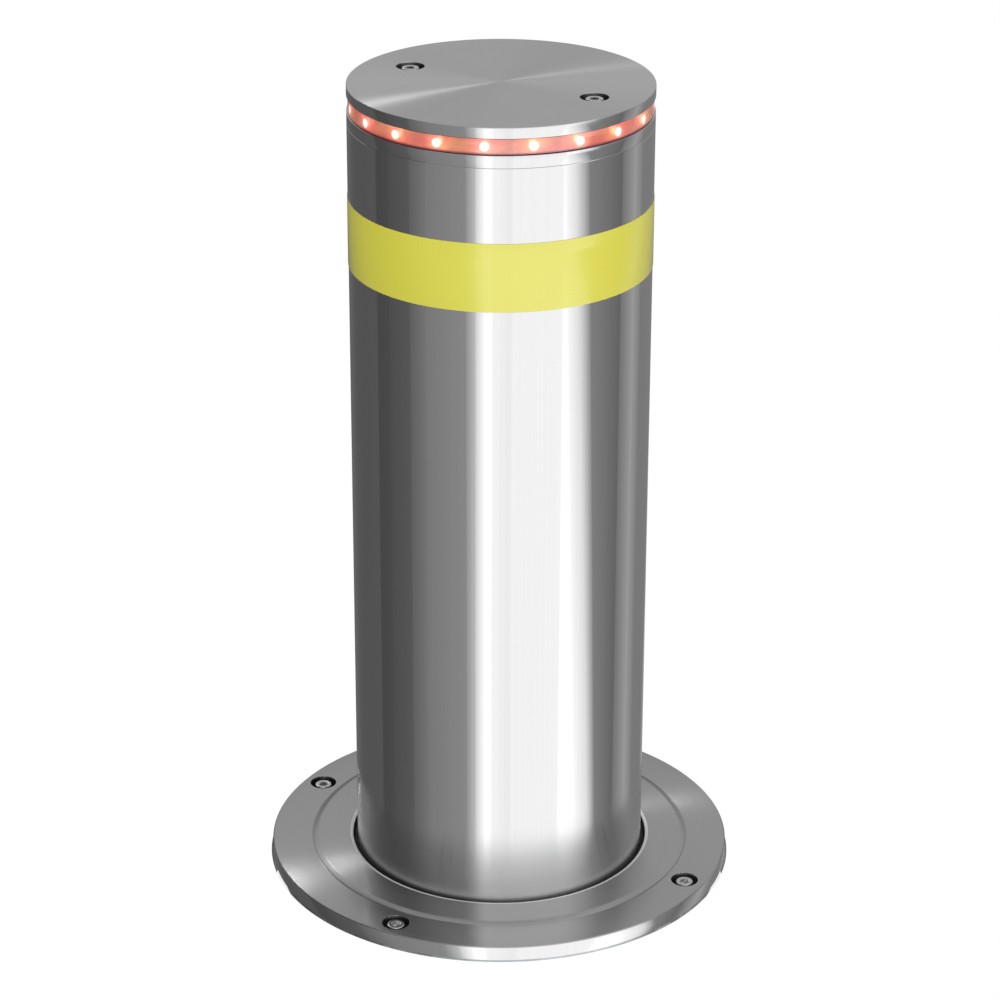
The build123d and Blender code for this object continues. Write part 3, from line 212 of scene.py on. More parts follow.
# %% [markdown]
# The head ring closes the tube. Its plate lies inside the tube, its shoulder carries on the tube's
# outside, and its cuff carries the lamp strip. Two threaded bosses take the screws of the cap.

# %% Head ring
PLATE_HOLE_R, PLATE_R, PLATE_LOW, PLATE_TOP = 40, 103.4, 566, 574
SHOULDER_TOP = 592.5
CUFF_R, CUFF_BORE_R, CUFF_TOP = 98.1, 94.1, 603.5
CAP_SCREW_RING_R, CAP_SCREW_TURNS = 75, (150, 330)
CAP_LOW = 598.5
head_ring = piece(
    lathe_mesh(
        "head_ring_turned",
        rounded(
            [
                (PLATE_HOLE_R, PLATE_LOW),
                (PLATE_R, PLATE_LOW),
                (PLATE_R, TUBE_TOP),
                (COLUMN_R, TUBE_TOP),
                (COLUMN_R, SHOULDER_TOP),
                (CUFF_R, SHOULDER_TOP),
                (CUFF_R, CUFF_TOP),
                (CUFF_BORE_R, CUFF_TOP),
                (CUFF_BORE_R, PLATE_TOP),
                (PLATE_HOLE_R, PLATE_TOP),
            ],
            0.35,
        ),
        segments=512,
    ),
    "column",
)
bosses = joined(
    "head_ring_bosses",
    [
        lathe_mesh(
            "boss",
            rounded([(4.05, PLATE_TOP), (12, PLATE_TOP), (12, CAP_LOW), (4.05, CAP_LOW)], 0.4),
            segments=64,
            centre=at_angle(CAP_SCREW_RING_R, turn),
        )
        for turn in CAP_SCREW_TURNS
    ],
)
bosses = piece(bosses, "column")
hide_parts("head_ring")
print("head ring turned:", len(head_ring.data.polygons), "faces")

# %% [markdown]
# The band is a strip of reflective sheet, 0.4 mm thick, wrapped once round the tube. Its cut edges
# are visible as a fine line. The joint where its ends meet is left out.

# %% Reflective band
BAND_R, BAND_LOW, BAND_TOP = 109.9, 479.5, 529.5
band = piece(
    lathe_mesh(
        "reflective_band_wrapped",
        rounded(
            [(COLUMN_R, BAND_LOW), (BAND_R, BAND_LOW), (BAND_R, BAND_TOP), (COLUMN_R, BAND_TOP)],
            0.12,
            2,
        ),
        segments=512,
    ),
    "column",
    ["reflective_band"],
)
print("band wrapped from", BAND_LOW, "to", BAND_TOP, "mm")

# %% [markdown]
# ## Cap
#
# The cap is faced on a lathe: the tool travels from the rim to the centre while the disc turns, so
# the marks are fine rings round the axis. It drops into the head ring with a spigot, and two
# counterbored wells take the screws that hold it.

# %% Cap
CAP_RIM_LOW, CAP_TOP, SPIGOT_R = 604.5, 612.5, 93.6
CAP_SEAT, CAP_WELL_R, THREAD_HOLE_R = 603.7, 10.25, 4.3
cap = piece(
    lathe_mesh(
        "top_cap_turned",
        rounded(
            [
                (0, CAP_LOW),
                (SPIGOT_R, CAP_LOW),
                (SPIGOT_R, CAP_RIM_LOW),
                (COLUMN_R, CAP_RIM_LOW),
                (COLUMN_R, CAP_TOP - 0.5),
                (COLUMN_R - 0.5, CAP_TOP),
                (0, CAP_TOP),
            ],
            0.25,
        ),
        segments=512,
    ),
    "column",
    ["top_cap"],
)
wells = [
    lathe_mesh(
        "well",
        [
            (0, 590),
            (THREAD_HOLE_R, 590),
            (THREAD_HOLE_R, CAP_SEAT),
            (CAP_WELL_R, CAP_SEAT),
            (CAP_WELL_R, CAP_TOP - 0.3),
            (CAP_WELL_R + 0.35, CAP_TOP + 0.5),
            (0, CAP_TOP + 0.5),
        ],
        segments=96,
        centre=at_angle(CAP_SCREW_RING_R, turn),
    )
    for turn in CAP_SCREW_TURNS
]
cut_out(cap, wells)
print("cap turned and bored:", len(cap.data.polygons), "faces")

# %% [markdown]
# ## Socket screws
#
# All the screws that show are hex socket screws. Each head has a rounded rim, a flat top, a small
# lead-in round the socket and a hexagonal hole with a drilled bottom. The hexagon is made on the
# lathe too: its radius is simply a function of the angle.

# %% Screw helper
HEX_CORNER = 1.155  # corner distance of a hexagon over its distance across flats


def hexagon(across_flats):
    """Radius of a hexagon as a function of the angle."""
    half = across_flats / 2

    def radius(turn):
        return half / math.cos((turn + math.pi / 6) % (math.pi / 3) - math.pi / 6)

    return radius


def socket_screw(head_d, head_h, thread_d, length, key, depth, at, seat, turn):
    """A hex socket screw that stands on its seat, head up."""
    top, tip = seat + head_h, seat - length
    r, thread_r = head_d / 2, thread_d / 2
    outline = [
        (0, tip),
        (thread_r - 0.8, tip),
        (thread_r, tip + 0.8),
        (thread_r, seat - 0.3),
        (thread_r + 0.3, seat),
        (r - 0.2, seat),
        (r, seat + 0.2),
        (r, top - 0.9),
        (r - 0.12, top - 0.45),
        (r - 0.42, top - 0.14),
        (r - 0.85, top),
        (key / 2 * HEX_CORNER + 0.45, top),
        (hexagon(key), top - 0.35),
        (hexagon(key), top - depth),
        (key / 2 * 0.86, top - depth - 0.05),
        (0, top - depth - 0.9),
    ]
    return lathe_mesh("screw", outline, segments=96, centre=at, start=turn)


# %% [markdown]
# The screws of the cap have the full M8 head, those of the flange the low one. No two sockets stop
# at the same angle, because a screw is turned until it is tight.

# %% Screws
COVER_SCREW_RING_R, COVER_SEAT = 159.5, 5.0
COVER_SCREW_TURNS = [61.5 + 90 * k for k in range(4)]
cap_screws = joined(
    "cap_screws_turned",
    [
        socket_screw(13, 8, 8, 22, 6, 4, at_angle(CAP_SCREW_RING_R, turn), CAP_SEAT, spin)
        for turn, spin in zip(CAP_SCREW_TURNS, (0.2, 0.75))
    ],
)
cap_screws = piece(cap_screws, "column", ["cap_screws"])
cover_screws = joined(
    "cover_screws_turned",
    [
        socket_screw(13, 5, 8, 18, 6, 2.6, at_angle(COVER_SCREW_RING_R, turn), COVER_SEAT, 0.31 * k)
        for k, turn in enumerate(COVER_SCREW_TURNS)
    ],
)
cover_screws = piece(cover_screws, "ground_unit", ["cover_screws"])
print("socket screws set:", len(CAP_SCREW_TURNS) + len(COVER_SCREW_TURNS))

# %% [markdown]
# ## Light ring
#
# A clear red ring, 11 mm tall, sits between two thin flat seals. Behind it a lamp strip is wrapped
# round the head, with twenty small white lamps and a resistor between each pair. The real lamps
# burn so brightly that they look white through the red, with a red glow round each.

# %% Light ring
LENS_BORE_R, LENS_R, LENS_LOW, LENS_TOP = 102.5, 108.5, 593, 604
lens = piece(
    lathe_mesh(
        "light_ring_moulded",
        rounded(
            [
                (LENS_BORE_R, LENS_LOW),
                (LENS_R, LENS_LOW),
                (LENS_R, LENS_TOP),
                (LENS_BORE_R, LENS_TOP),
            ],
            0.3,
            2,
        ),
        segments=512,
    ),
    "column",
    ["light_ring"],
)
print("light ring moulded:", len(lens.data.polygons), "faces")

# %% [markdown]
# Each lamp is a small square body with a window that gives the light. They face outwards.

# %% Lamps
LAMP_Z, LAMP_START, LAMP_STEP, LAMP_COUNT = 598.5, 12.0, 18.0, 20


def box_mesh(name, size, centre, turn, height, bevel):
    """A small box with eased edges, at a radius, turned to face outwards. Lengths in mm."""
    work = bmesh.new()
    bmesh.ops.create_cube(work, size=1.0)
    bmesh.ops.scale(work, vec=Vector(size) * MM, verts=work.verts)
    bmesh.ops.bevel(work, geom=work.edges[:], offset=bevel * MM, segments=2, affect="EDGES")
    bmesh.ops.translate(work, vec=Vector((centre * MM, 0, height * MM)), verts=work.verts)
    spin = Matrix.Rotation(math.radians(turn), 3, "Z")
    bmesh.ops.rotate(work, cent=(0, 0, 0), matrix=spin, verts=work.verts)
    mesh = bpy.data.meshes.new(name)
    work.to_mesh(mesh)
    work.free()
    return mesh


bodies, windows, resistors = [], [], []
for k in range(LAMP_COUNT):
    turn = LAMP_START + LAMP_STEP * k
    halfway = turn + LAMP_STEP / 2
    bodies.append(box_mesh("body", (1.5, 5, 5), 99.25, turn, LAMP_Z, 0.25))
    windows.append(box_mesh("window", (0.3, 3.6, 3.6), 99.95, turn, LAMP_Z, 0.1))
    resistors.append(box_mesh("resistor", (0.6, 3.2, 1.6), 98.8, halfway, LAMP_Z + 1.2, 0.12))
lamps = piece(joined("led_lamps_fitted", bodies), "column", ["led_lamps"])
glow = piece(joined("led_windows", windows), "column")
parts_on_strip = piece(joined("led_resistors", resistors), "column")
print("lamps fitted:", len(bodies))

# %% [markdown]
# ## Cover flange and wiper
#
# The flange is one turned ring. Its rim stands 11 mm above the paving; a fine groove and a short
# bevel lead up to a centre that is 1.5 mm higher. Four counterbores take the screws. The edge of
# the bore is eased with a shallow bevel, and a painted highlight on it makes the bright line round
# the foot of the column.

# %% Flange
FLANGE_R, FLANGE_TOP, CENTRE_TOP, FLANGE_BORE_R = 175, 11, 12.5, 113
REGISTER_R, REGISTER_BORE_R, REGISTER_DEPTH = 168.3, 132, 1
GROOVE_R, GROOVE_WIDTH, GROOVE_BOTTOM = 144, 0.8, 10.4
SEAL_SEAT_R, SEAL_SEAT_TOP = 122, 5
COVER_WELL_R = 10
flange = piece(
    lathe_mesh(
        "cover_flange_turned",
        rounded(
            [
                (SEAL_SEAT_R, 0),
                (REGISTER_BORE_R, 0),
                (REGISTER_BORE_R, REGISTER_DEPTH),
                (REGISTER_R, REGISTER_DEPTH),
                (REGISTER_R, 0),
                (FLANGE_R, 0),
                (FLANGE_R, FLANGE_TOP - 0.8),
                (FLANGE_R - 0.8, FLANGE_TOP),
                (GROOVE_R + GROOVE_WIDTH, FLANGE_TOP),
                (GROOVE_R + GROOVE_WIDTH, GROOVE_BOTTOM),
                (GROOVE_R, GROOVE_BOTTOM),
                (GROOVE_R, FLANGE_TOP),
                (GROOVE_R - 4, CENTRE_TOP),
                (FLANGE_BORE_R + 2.3, CENTRE_TOP),
                (FLANGE_BORE_R + 0.2, CENTRE_TOP - 0.5),
                (FLANGE_BORE_R, CENTRE_TOP - 0.9),
                (FLANGE_BORE_R, SEAL_SEAT_TOP),
                (SEAL_SEAT_R, SEAL_SEAT_TOP),
            ],
            0.25,
        ),
        segments=512,
    ),
    "ground_unit",
    ["cover_flange"],
)
wells = [
    lathe_mesh(
        "well",
        [
            (0, -2),
            (THREAD_HOLE_R, -2),
            (THREAD_HOLE_R, COVER_SEAT),
            (COVER_WELL_R, COVER_SEAT),
            (COVER_WELL_R, FLANGE_TOP - 0.4),
            (COVER_WELL_R + 0.4, FLANGE_TOP + 0.4),
            (0, FLANGE_TOP + 0.4),
        ],
        segments=96,
        centre=at_angle(COVER_SCREW_RING_R, turn),
    )
    for turn in COVER_SCREW_TURNS
]
cut_out(flange, wells)
print("flange turned and bored:", len(flange.data.polygons), "faces")

# %% [markdown]
# In the bore sits a black rubber wiper, whose lip leans up against the column to keep grit out.

# %% Wiper
wiper = piece(
    lathe_mesh(
        "wiper_seal_moulded",
        rounded(
            [
                (111.5, 0),
                (SEAL_SEAT_R, 0),
                (SEAL_SEAT_R, SEAL_SEAT_TOP),
                (112.7, SEAL_SEAT_TOP),
                (111.5, 8.5),
                (110.3, 8.5),
                (110.3, SEAL_SEAT_TOP),
            ],
            0.3,
        ),
        segments=384,
    ),
    "ground_unit",
    ["wiper_seal"],
)
print("wiper moulded:", len(wiper.data.polygons), "faces")

# %% [markdown]
# ## Finishes
#
# The materials are made from patterns that are worked out from the place on the surface, with no
# pictures. A few small helpers keep the node trees short.

# %% Node helpers
def material(name):
    """An empty material with its main shader."""
    m = bpy.data.materials.new(name)
    m.use_nodes = True
    tree = m.node_tree
    tree.nodes.clear()
    out = tree.nodes.new("ShaderNodeOutputMaterial")
    shader = tree.nodes.new("ShaderNodeBsdfPrincipled")
    tree.links.new(shader.outputs[0], out.inputs[0])
    return m, tree, shader, out


def node(tree, kind, inputs=None, **settings):
    """A node with its settings, its plain values and its links."""
    n = tree.nodes.new(kind)
    for key, value in settings.items():
        setattr(n, key, value)
    for key, value in (inputs or {}).items():
        if isinstance(value, bpy.types.NodeSocket):
            tree.links.new(value, n.inputs[key])
        else:
            n.inputs[key].default_value = value
    return n


def maths(tree, operation, a, b=0.0):
    """One sum of two values."""
    return node(tree, "ShaderNodeMath", {0: a, 1: b}, operation=operation).outputs[0]


def hypotenuse(tree, a, b):
    """The length of a line from its two sides."""
    squares = (maths(tree, "MULTIPLY", side, side) for side in (a, b))
    return maths(tree, "SQRT", maths(tree, "ADD", *squares))


def place_on(tree):
    """The point on the surface, in metres."""
    return node(tree, "ShaderNodeTexCoord").outputs["Object"]


def round_axis(tree):
    """The point, and its angle, radius and height round the axis, in metres and radians."""
    place = place_on(tree)
    x, y, z = node(tree, "ShaderNodeSeparateXYZ", {0: place}).outputs
    return place, maths(tree, "ARCTAN2", y, x), hypotenuse(tree, x, y), z


def noise(tree, vector, scale=1.0, detail=2.0, rough=0.5):
    """An even noise pattern, as a factor."""
    return node(
        tree,
        "ShaderNodeTexNoise",
        {"Vector": vector, "Scale": scale, "Detail": detail, "Roughness": rough},
    ).outputs["Fac"]


def unrolled(tree, angle, across, per_turn, per_metre, layer):
    """The surface round the axis laid flat, stretched both ways, to put a pattern on."""
    along = maths(tree, "MULTIPLY", angle, per_turn)
    over = maths(tree, "MULTIPLY", across, per_metre)
    return node(tree, "ShaderNodeCombineXYZ", {0: along, 1: over, 2: layer}).outputs[0]


def between(tree, value, low, high, a=0.0, b=1.0):
    """A value carried over from one range to another, and kept inside it."""
    return node(
        tree,
        "ShaderNodeMapRange",
        {"Value": value, "From Min": low, "From Max": high, "To Min": a, "To Max": b},
    ).outputs["Result"]


def shade(tree, factor, dark, light):
    """A colour between two, by a factor. Each colour is three numbers or a socket."""
    first, second = ((*c, 1) if isinstance(c, tuple) else c for c in (dark, light))
    mix = node(tree, "ShaderNodeMix", {0: factor, 6: first, 7: second}, data_type="RGBA")
    return mix.outputs[2]


def coat_with(m, *objects):
    """Gives a material to pieces."""
    for obj in objects:
        obj.data.materials.clear()
        obj.data.materials.append(m)


# %% [markdown]
# ### Brushed and turned stainless
#
# A brushed surface is thousands of parallel scratches. Along a scratch it is nearly a mirror, and
# across it light is spread wide. That is what the anisotropic setting does, once it is told which
# way the scratches run: here the tangent goes round the axis, on the tube as on the turned faces,
# and a quarter turn puts the wide spread across it. On the tube that draws the room into upright
# bands. On the cap and the flange it gathers a lamp into a thin wedge through the middle.
#
# The rims of the cap and the flange are other cuts of the same tools, so those faces get a finish
# of their own. The eased edge of the bore gets a painted highlight: a pale, mostly unmetallic
# finish that shows as a bright line. The walls and floors of the screw wells get painted shade: a
# dark finish. The last centimetres of the column above the flange are scuffed by shoes and grit,
# and what they mirror is blurred along the height.

# %% Stainless
BRIGHT, GREY = (0.66, 0.66, 0.665), (0.53, 0.53, 0.535)
# Tones for a painted highlight on the bore's bevel and painted shade in the screw wells.
PAINTED_HIGHLIGHT_TONE, PAINTED_SHADE_TONE = (0.93, 0.93, 0.935), (0.13, 0.13, 0.135)
FINE_LINES, BROAD_LINES = 1700.0, 190.0  # brush lines in a metre
DRAWN_LINES = 55.0  # upright lines in a radian
FOOT_START, FOOT_END = 0.085, 0.035  # the scuffs begin and are full at these heights, in metres


def stainless(
    name, turned, rough, aniso, tone=BRIGHT, grain=0.03, streak=0.0, worn_foot=False, metal=1.0
):
    """Steel with fine lines round the axis, one above the other or, if turned, one inside it."""
    m, tree, shader, out = material(name)
    place, angle, radius, z = round_axis(tree)
    across = radius if turned else z
    fine = noise(tree, unrolled(tree, angle, across, 2.2, FINE_LINES, 0.0), 1.0, 3.0, 0.7)
    wide = noise(tree, unrolled(tree, angle, across, 1.1, BROAD_LINES, 3.0), 1.0, 2.0, 0.5)
    fine, wide = maths(tree, "MULTIPLY", fine, 0.6), maths(tree, "MULTIPLY", wide, 0.4)
    both = maths(tree, "ADD", fine, wide)
    drawn = noise(tree, unrolled(tree, angle, z, DRAWN_LINES, 0.9, 7.0), 1.0, 4.0, 0.6)
    level = maths(
        tree,
        "ADD",
        between(tree, both, 0.3, 0.7, 1 - grain, 1 + grain),
        between(tree, drawn, 0.3, 0.7, -streak, streak),
    )
    colour = node(tree, "ShaderNodeVectorMath", {0: tone, "Scale": level}, operation="SCALE")
    tree.links.new(colour.outputs[0], shader.inputs["Base Color"])
    swing = grain * 4
    even = between(tree, both, 0.25, 0.75, rough * (1 - swing), rough * (1 + swing))
    shader.inputs["Metallic"].default_value = metal
    shader.inputs["Anisotropic"].default_value = aniso
    if worn_foot:
        even = maths(tree, "ADD", even, between(tree, z, FOOT_START, FOOT_END, 0.0, 0.17))
        one_way = between(tree, z, FOOT_START, 0.06, aniso, 1.0)
        tree.links.new(one_way, shader.inputs["Anisotropic"])
    tree.links.new(even, shader.inputs["Roughness"])
    shader.inputs["Anisotropic Rotation"].default_value = 0.25
    tangent = node(tree, "ShaderNodeTangent", direction_type="RADIAL", axis="Z")
    tree.links.new(tangent.outputs[0], shader.inputs["Tangent"])
    return m


def face_coat(obj, m, wanted):
    """Gives a material of their own to the faces whose middle passes a test."""
    obj.data.materials.append(m)
    count = 0
    for face in obj.data.polygons:
        middle = face.center / MM
        if wanted(math.hypot(middle.x, middle.y), middle.z, face.normal.z):
            face.material_index = len(obj.data.materials) - 1
            count += 1
    print(m.name, "on", count, "faces of", obj.name)


brushed = stainless(
    "brushed_stainless", False, 0.075, 0.8, grain=0.006, streak=0.018, worn_foot=True
)
turned = stainless("turned_stainless", True, 0.24, 1.0)
grey_turned = stainless("turned_flange", True, 0.24, 1.0, tone=GREY)
edge = stainless("turned_edge", False, 0.12, 0.9, grain=0.015, streak=0.02)
# Painted highlight: a pale, mostly unmetallic finish on the bore's bevel, seen as a bright line.
lip = stainless("lip_painted_highlight", False, 0.38, 0.0, tone=PAINTED_HIGHLIGHT_TONE, grain=0.02, metal=0.25)
# Painted shade: a dark finish for the walls and floors of the screw wells.
shadow = stainless("well_painted_shade", False, 0.4, 0.2, tone=PAINTED_SHADE_TONE)
coat_with(brushed, tube, head_ring, bosses)
coat_with(turned, cap)
face_coat(cap, edge, lambda r, z, up: r > COLUMN_R - 0.6 and abs(up) < 0.5)
# Painted shade in the cap's screw wells.
face_coat(
    cap, shadow, lambda r, z, up: abs(r - CAP_SCREW_RING_R) < 11 and 603 < z < CAP_TOP - 0.2
)
coat_with(grey_turned, flange)
face_coat(flange, edge, lambda r, z, up: r > FLANGE_R - 1 and abs(up) < 0.5)
# Painted highlight on the eased edge of the bore.
face_coat(
    flange, lip, lambda r, z, up: r < FLANGE_BORE_R + 2.4 and z > FLANGE_TOP and up < 0.999
)
# Painted shade in the flange's screw wells.
face_coat(
    flange,
    shadow,
    lambda r, z, up: abs(r - COVER_SCREW_RING_R) < 10.5 and 4.5 < z < FLANGE_TOP - 0.2,
)

# %% [markdown]
# ### The other finishes that show
#
# Screws are stainless too, but rolled and tumbled, so they are brighter and even in all
# directions. The wiper is matt rubber with a little dust.

# %% Screws and rubber
def set_values(shader, **values):
    """Plain values of a shader, with the spaces of their names as underscores."""
    for key, value in values.items():
        shader.inputs[key.replace("_", " ")].default_value = value


fastener, tree, shader, out = material("stainless_fastener")
pits = noise(tree, place_on(tree), 900.0, 4.0, 0.6)
steel = shade(tree, pits, (0.6, 0.6, 0.61), (0.74, 0.74, 0.74))
tree.links.new(steel, shader.inputs["Base Color"])
tree.links.new(between(tree, pits, 0.3, 0.7, 0.16, 0.3), shader.inputs["Roughness"])
set_values(shader, Metallic=1.0)
coat_with(fastener, cap_screws, cover_screws)

soft_rubber, tree, shader, out = material("wiper_rubber")
dust = noise(tree, place_on(tree), 160.0, 5.0, 0.6)
rubber = shade(tree, dust, (0.012, 0.012, 0.013), (0.035, 0.034, 0.033))
tree.links.new(rubber, shader.inputs["Base Color"])
tree.links.new(between(tree, dust, 0.3, 0.7, 0.5, 0.75), shader.inputs["Roughness"])
coat_with(soft_rubber, wiper)
print("screws and wiper finished")

# %% [markdown]
# The band is a glossy sheet over a honeycomb of tiny prisms. The walls between the prisms are only
# a trace darker, and from a few metres they melt into one yellow.

# %% Band
PRISMS = 320.0  # cells in a metre
m, tree, shader, out = material("reflective_yellow")
place, angle, radius, z = round_axis(tree)
wrapped = unrolled(tree, angle, z, BAND_R * MM, 1.0, 0.0)
cells = node(
    tree,
    "ShaderNodeTexVoronoi",
    {"Vector": wrapped, "Scale": PRISMS, "Randomness": 0.12},
    feature="DISTANCE_TO_EDGE",
).outputs["Distance"]
wall = between(tree, cells, 0.02, 0.12)
yellow = shade(tree, wall, (0.645, 0.610, 0.050), (0.665, 0.630, 0.058))
tree.links.new(yellow, shader.inputs["Base Color"])
set_values(shader, Roughness=0.5, Coat_Weight=1.0, Coat_IOR=1.8, Coat_Roughness=0.07)
coat_with(m, band)
print("band finished, with", round(PRISMS * (BAND_TOP - BAND_LOW) * MM), "rows of prisms")

# %% [markdown]
# ### Light ring
#
# The plastic lets light through and scatters some of it, so its glow is strongest in front of each
# lamp. That glow is painted on the ring as light of its own: the distance on the ring to the
# nearest lamp gives the painted glow, and the painted white spot in its middle. Warm patches, and
# pale wisps of painted light, stand for what the moulded plastic bends out of place. Along the
# lowest line of the ring the red is darker and the painted glow dimmer: painted shade from its
# seat.

# %% Light ring's finish
GLOW_R = 0.1055  # where the distance to a lamp is measured, in metres
HALO_FALL, SPOT_EDGE, SPOT_CORE = -230.0, 0.0038, 0.0019
SEAT_SHADE_LINE = 0.5937, 0.5947
m, tree, shader, out = material("red_lens")
place, angle, radius, z = round_axis(tree)
from_first = maths(tree, "SUBTRACT", angle, math.radians(LAMP_START))
steps = maths(tree, "DIVIDE", from_first, math.radians(LAMP_STEP))
off = maths(tree, "ABSOLUTE", maths(tree, "SUBTRACT", steps, maths(tree, "ROUND", steps)))
aside = maths(tree, "MULTIPLY", off, math.radians(LAMP_STEP) * GLOW_R)
above = maths(tree, "SUBTRACT", z, LAMP_Z * MM)
far = hypotenuse(tree, aside, above)
# Painted glow: the ring gives light of its own, brightest in front of each lamp.
halo = maths(tree, "POWER", 2.718, maths(tree, "MULTIPLY", far, HALO_FALL))
spot = between(tree, far, SPOT_EDGE, SPOT_CORE)
glow_haze = noise(tree, place, 90.0, 3.0, 0.6)
streaks = noise(tree, unrolled(tree, angle, z, 9.0, 420.0, 1.0), 1.0, 3.0, 0.6)
glow_wisps = between(tree, streaks, 0.52, 0.72, 0.0, 0.4)
patches = noise(tree, unrolled(tree, angle, z, 4.0, 60.0, 5.0), 1.0, 2.0, 0.5)
warm = between(tree, patches, 0.42, 0.62)
# Painted shade: the red darkens along the lowest line, under the seat, and the glow is dimmed
# there.
foot = between(tree, z, *SEAT_SHADE_LINE)
body_red = shade(tree, warm, (0.70, 0.15, 0.11), (0.74, 0.27, 0.13))
tree.links.new(shade(tree, foot, (0.50, 0.05, 0.06), body_red), shader.inputs["Base Color"])
set_values(shader, Roughness=0.12, IOR=1.49, Transmission_Weight=0.4)
set_values(shader, Coat_Weight=1.0, Coat_IOR=2.1, Coat_Roughness=0.06)
# Colour of the painted glow, white in the painted spots and wisps.
glow_red = shade(tree, warm, (1.0, 0.27, 0.20), (1.0, 0.40, 0.22))
pale = maths(tree, "MAXIMUM", spot, glow_wisps)
tree.links.new(shade(tree, pale, glow_red, (1.0, 0.93, 0.80)), shader.inputs["Emission Color"])
soft = maths(tree, "ADD", maths(tree, "MULTIPLY", halo, 1.2), maths(tree, "MULTIPLY", glow_haze, 0.22))
soft = maths(tree, "MULTIPLY", soft, between(tree, foot, 0.0, 1.0, 0.25, 1.0))
strength = maths(tree, "ADD", maths(tree, "MULTIPLY", spot, 1.6), soft)
tree.links.new(strength, shader.inputs["Emission Strength"])
coat_with(m, lens)
print("light ring finished")

# %% [markdown]
# Behind the ring, the bodies of the lamps are white, and their windows burn in a warm white.

# %% Lamps' finish
m, tree, shader, out = material("lamp_white")
cast = noise(tree, place_on(tree), 700.0, 2.0, 0.5)
white = shade(tree, cast, (0.78, 0.77, 0.72), (0.86, 0.85, 0.82))
tree.links.new(white, shader.inputs["Base Color"])
set_values(shader, Roughness=0.4)
coat_with(m, lamps)

m, tree, shader, out = material("lamp_light")
grains = noise(tree, place_on(tree), 1500.0, 2.0, 0.5)
warm_white = shade(tree, grains, (1.0, 0.74, 0.42), (1.0, 0.82, 0.55))
tree.links.new(warm_white, shader.inputs["Emission Color"])
set_values(shader, Emission_Strength=5.0, Base_Color=(0.9, 0.75, 0.3, 1))
coat_with(m, glow)
print("lamps finished")

# %% [markdown]
# ## Finishes below the paving
#
# What is buried is plain and strong. The casing and the guides are hot-dip galvanised, which
# leaves a pattern of crystals. The ram's blocks and barrel are painted, its rod is chromed, the
# bushes are bronze, the fittings zinc plated. None of it shows once the bollard is set, but each
# has its own finish, so that the part can be looked at from any side.

# %% Finishes for the parts in the ground
def plain(name, dark, light, scale, rough, metallic=0.0, cells=False, bump=0.0, spread=0.12):
    """A finish from one pattern, which moves the colour and the roughness and may raise it."""
    m, tree, shader, out = material(name)
    place = place_on(tree)
    if cells:
        cell = node(tree, "ShaderNodeTexVoronoi", {"Vector": place, "Scale": scale})
        value = node(tree, "ShaderNodeSeparateXYZ", {0: cell.outputs["Color"]}).outputs[0]
        clouds = maths(tree, "MULTIPLY", noise(tree, place, scale * 0.2), 0.4)
        value = maths(tree, "ADD", maths(tree, "MULTIPLY", value, 0.6), clouds)
    else:
        value = noise(tree, place, scale, 5.0, 0.6)
    colour = shade(tree, between(tree, value, 0.25, 0.75), dark, light)
    tree.links.new(colour, shader.inputs["Base Color"])
    roughness = between(tree, value, 0.2, 0.8, rough - spread, rough + spread)
    tree.links.new(roughness, shader.inputs["Roughness"])
    set_values(shader, Metallic=metallic)
    if bump:
        lift = node(tree, "ShaderNodeBump", {"Height": value, "Strength": bump, "Distance": 0.0005})
        tree.links.new(lift.outputs[0], shader.inputs["Normal"])
    return m


PLAIN = [
    # name, dark, light, scale, rough, metallic
    ("lens_gasket", (0.02, 0.008, 0.008), (0.05, 0.02, 0.02), 300, 0.6, 0.0),
    ("lamp_board", (0.62, 0.6, 0.56), (0.72, 0.7, 0.66), 400, 0.45, 0.0),
    ("bronze_bush", (0.42, 0.27, 0.12), (0.52, 0.35, 0.17), 160, 0.36, 1.0),
    ("machined_steel", (0.42, 0.42, 0.43), (0.52, 0.52, 0.53), 240, 0.34, 1.0),
    ("seal_polyurethane", (0.03, 0.05, 0.13), (0.05, 0.075, 0.18), 220, 0.45, 0.0),
    ("zinc_fitting", (0.55, 0.54, 0.50), (0.68, 0.67, 0.63), 200, 0.3, 1.0),
    ("nickel_brass", (0.60, 0.57, 0.50), (0.70, 0.67, 0.60), 220, 0.28, 1.0),
    ("white_nylon", (0.74, 0.73, 0.69), (0.82, 0.81, 0.77), 140, 0.5, 0.0),
]
finishes = {row[0]: plain(*row) for row in PLAIN}
finishes["galvanised_steel"] = plain(
    "galvanised_steel", (0.40, 0.42, 0.44), (0.58, 0.60, 0.61), 85, 0.42, 0.85, True, 0.1
)
finishes["bare_bar_steel"] = plain(
    "bare_bar_steel", (0.13, 0.10, 0.085), (0.24, 0.19, 0.155), 120, 0.6, 0.6, bump=0.5
)
finishes["painted_cylinder"] = plain(
    "painted_cylinder", (0.055, 0.065, 0.08), (0.075, 0.088, 0.105), 90, 0.4, bump=0.15
)
finishes["chromed_rod"] = plain(
    "chromed_rod", (0.68, 0.69, 0.7), (0.74, 0.75, 0.76), 200, 0.1, 1.0, spread=0.03
)
for name in ("wiper_rubber", "stainless_fastener"):
    finishes[name] = bpy.data.materials[name]  # hidden ones keep the frame's own plain colour
finishes["brushed_stainless"], finishes["turned_stainless"] = brushed, turned
coat_with(finishes["lamp_board"], parts_on_strip)
slot_of = {part["node"]: part["material_slot"] for part in frame["record"]["subparts"]}
for name, obj in nodes.items():
    if not obj.hide_render:
        coat_with(finishes[slot_of[name]], obj)
        smooth(obj.data, 35)
print("finishes on", sum(not o.hide_render for o in nodes.values()), "solids kept as they are")

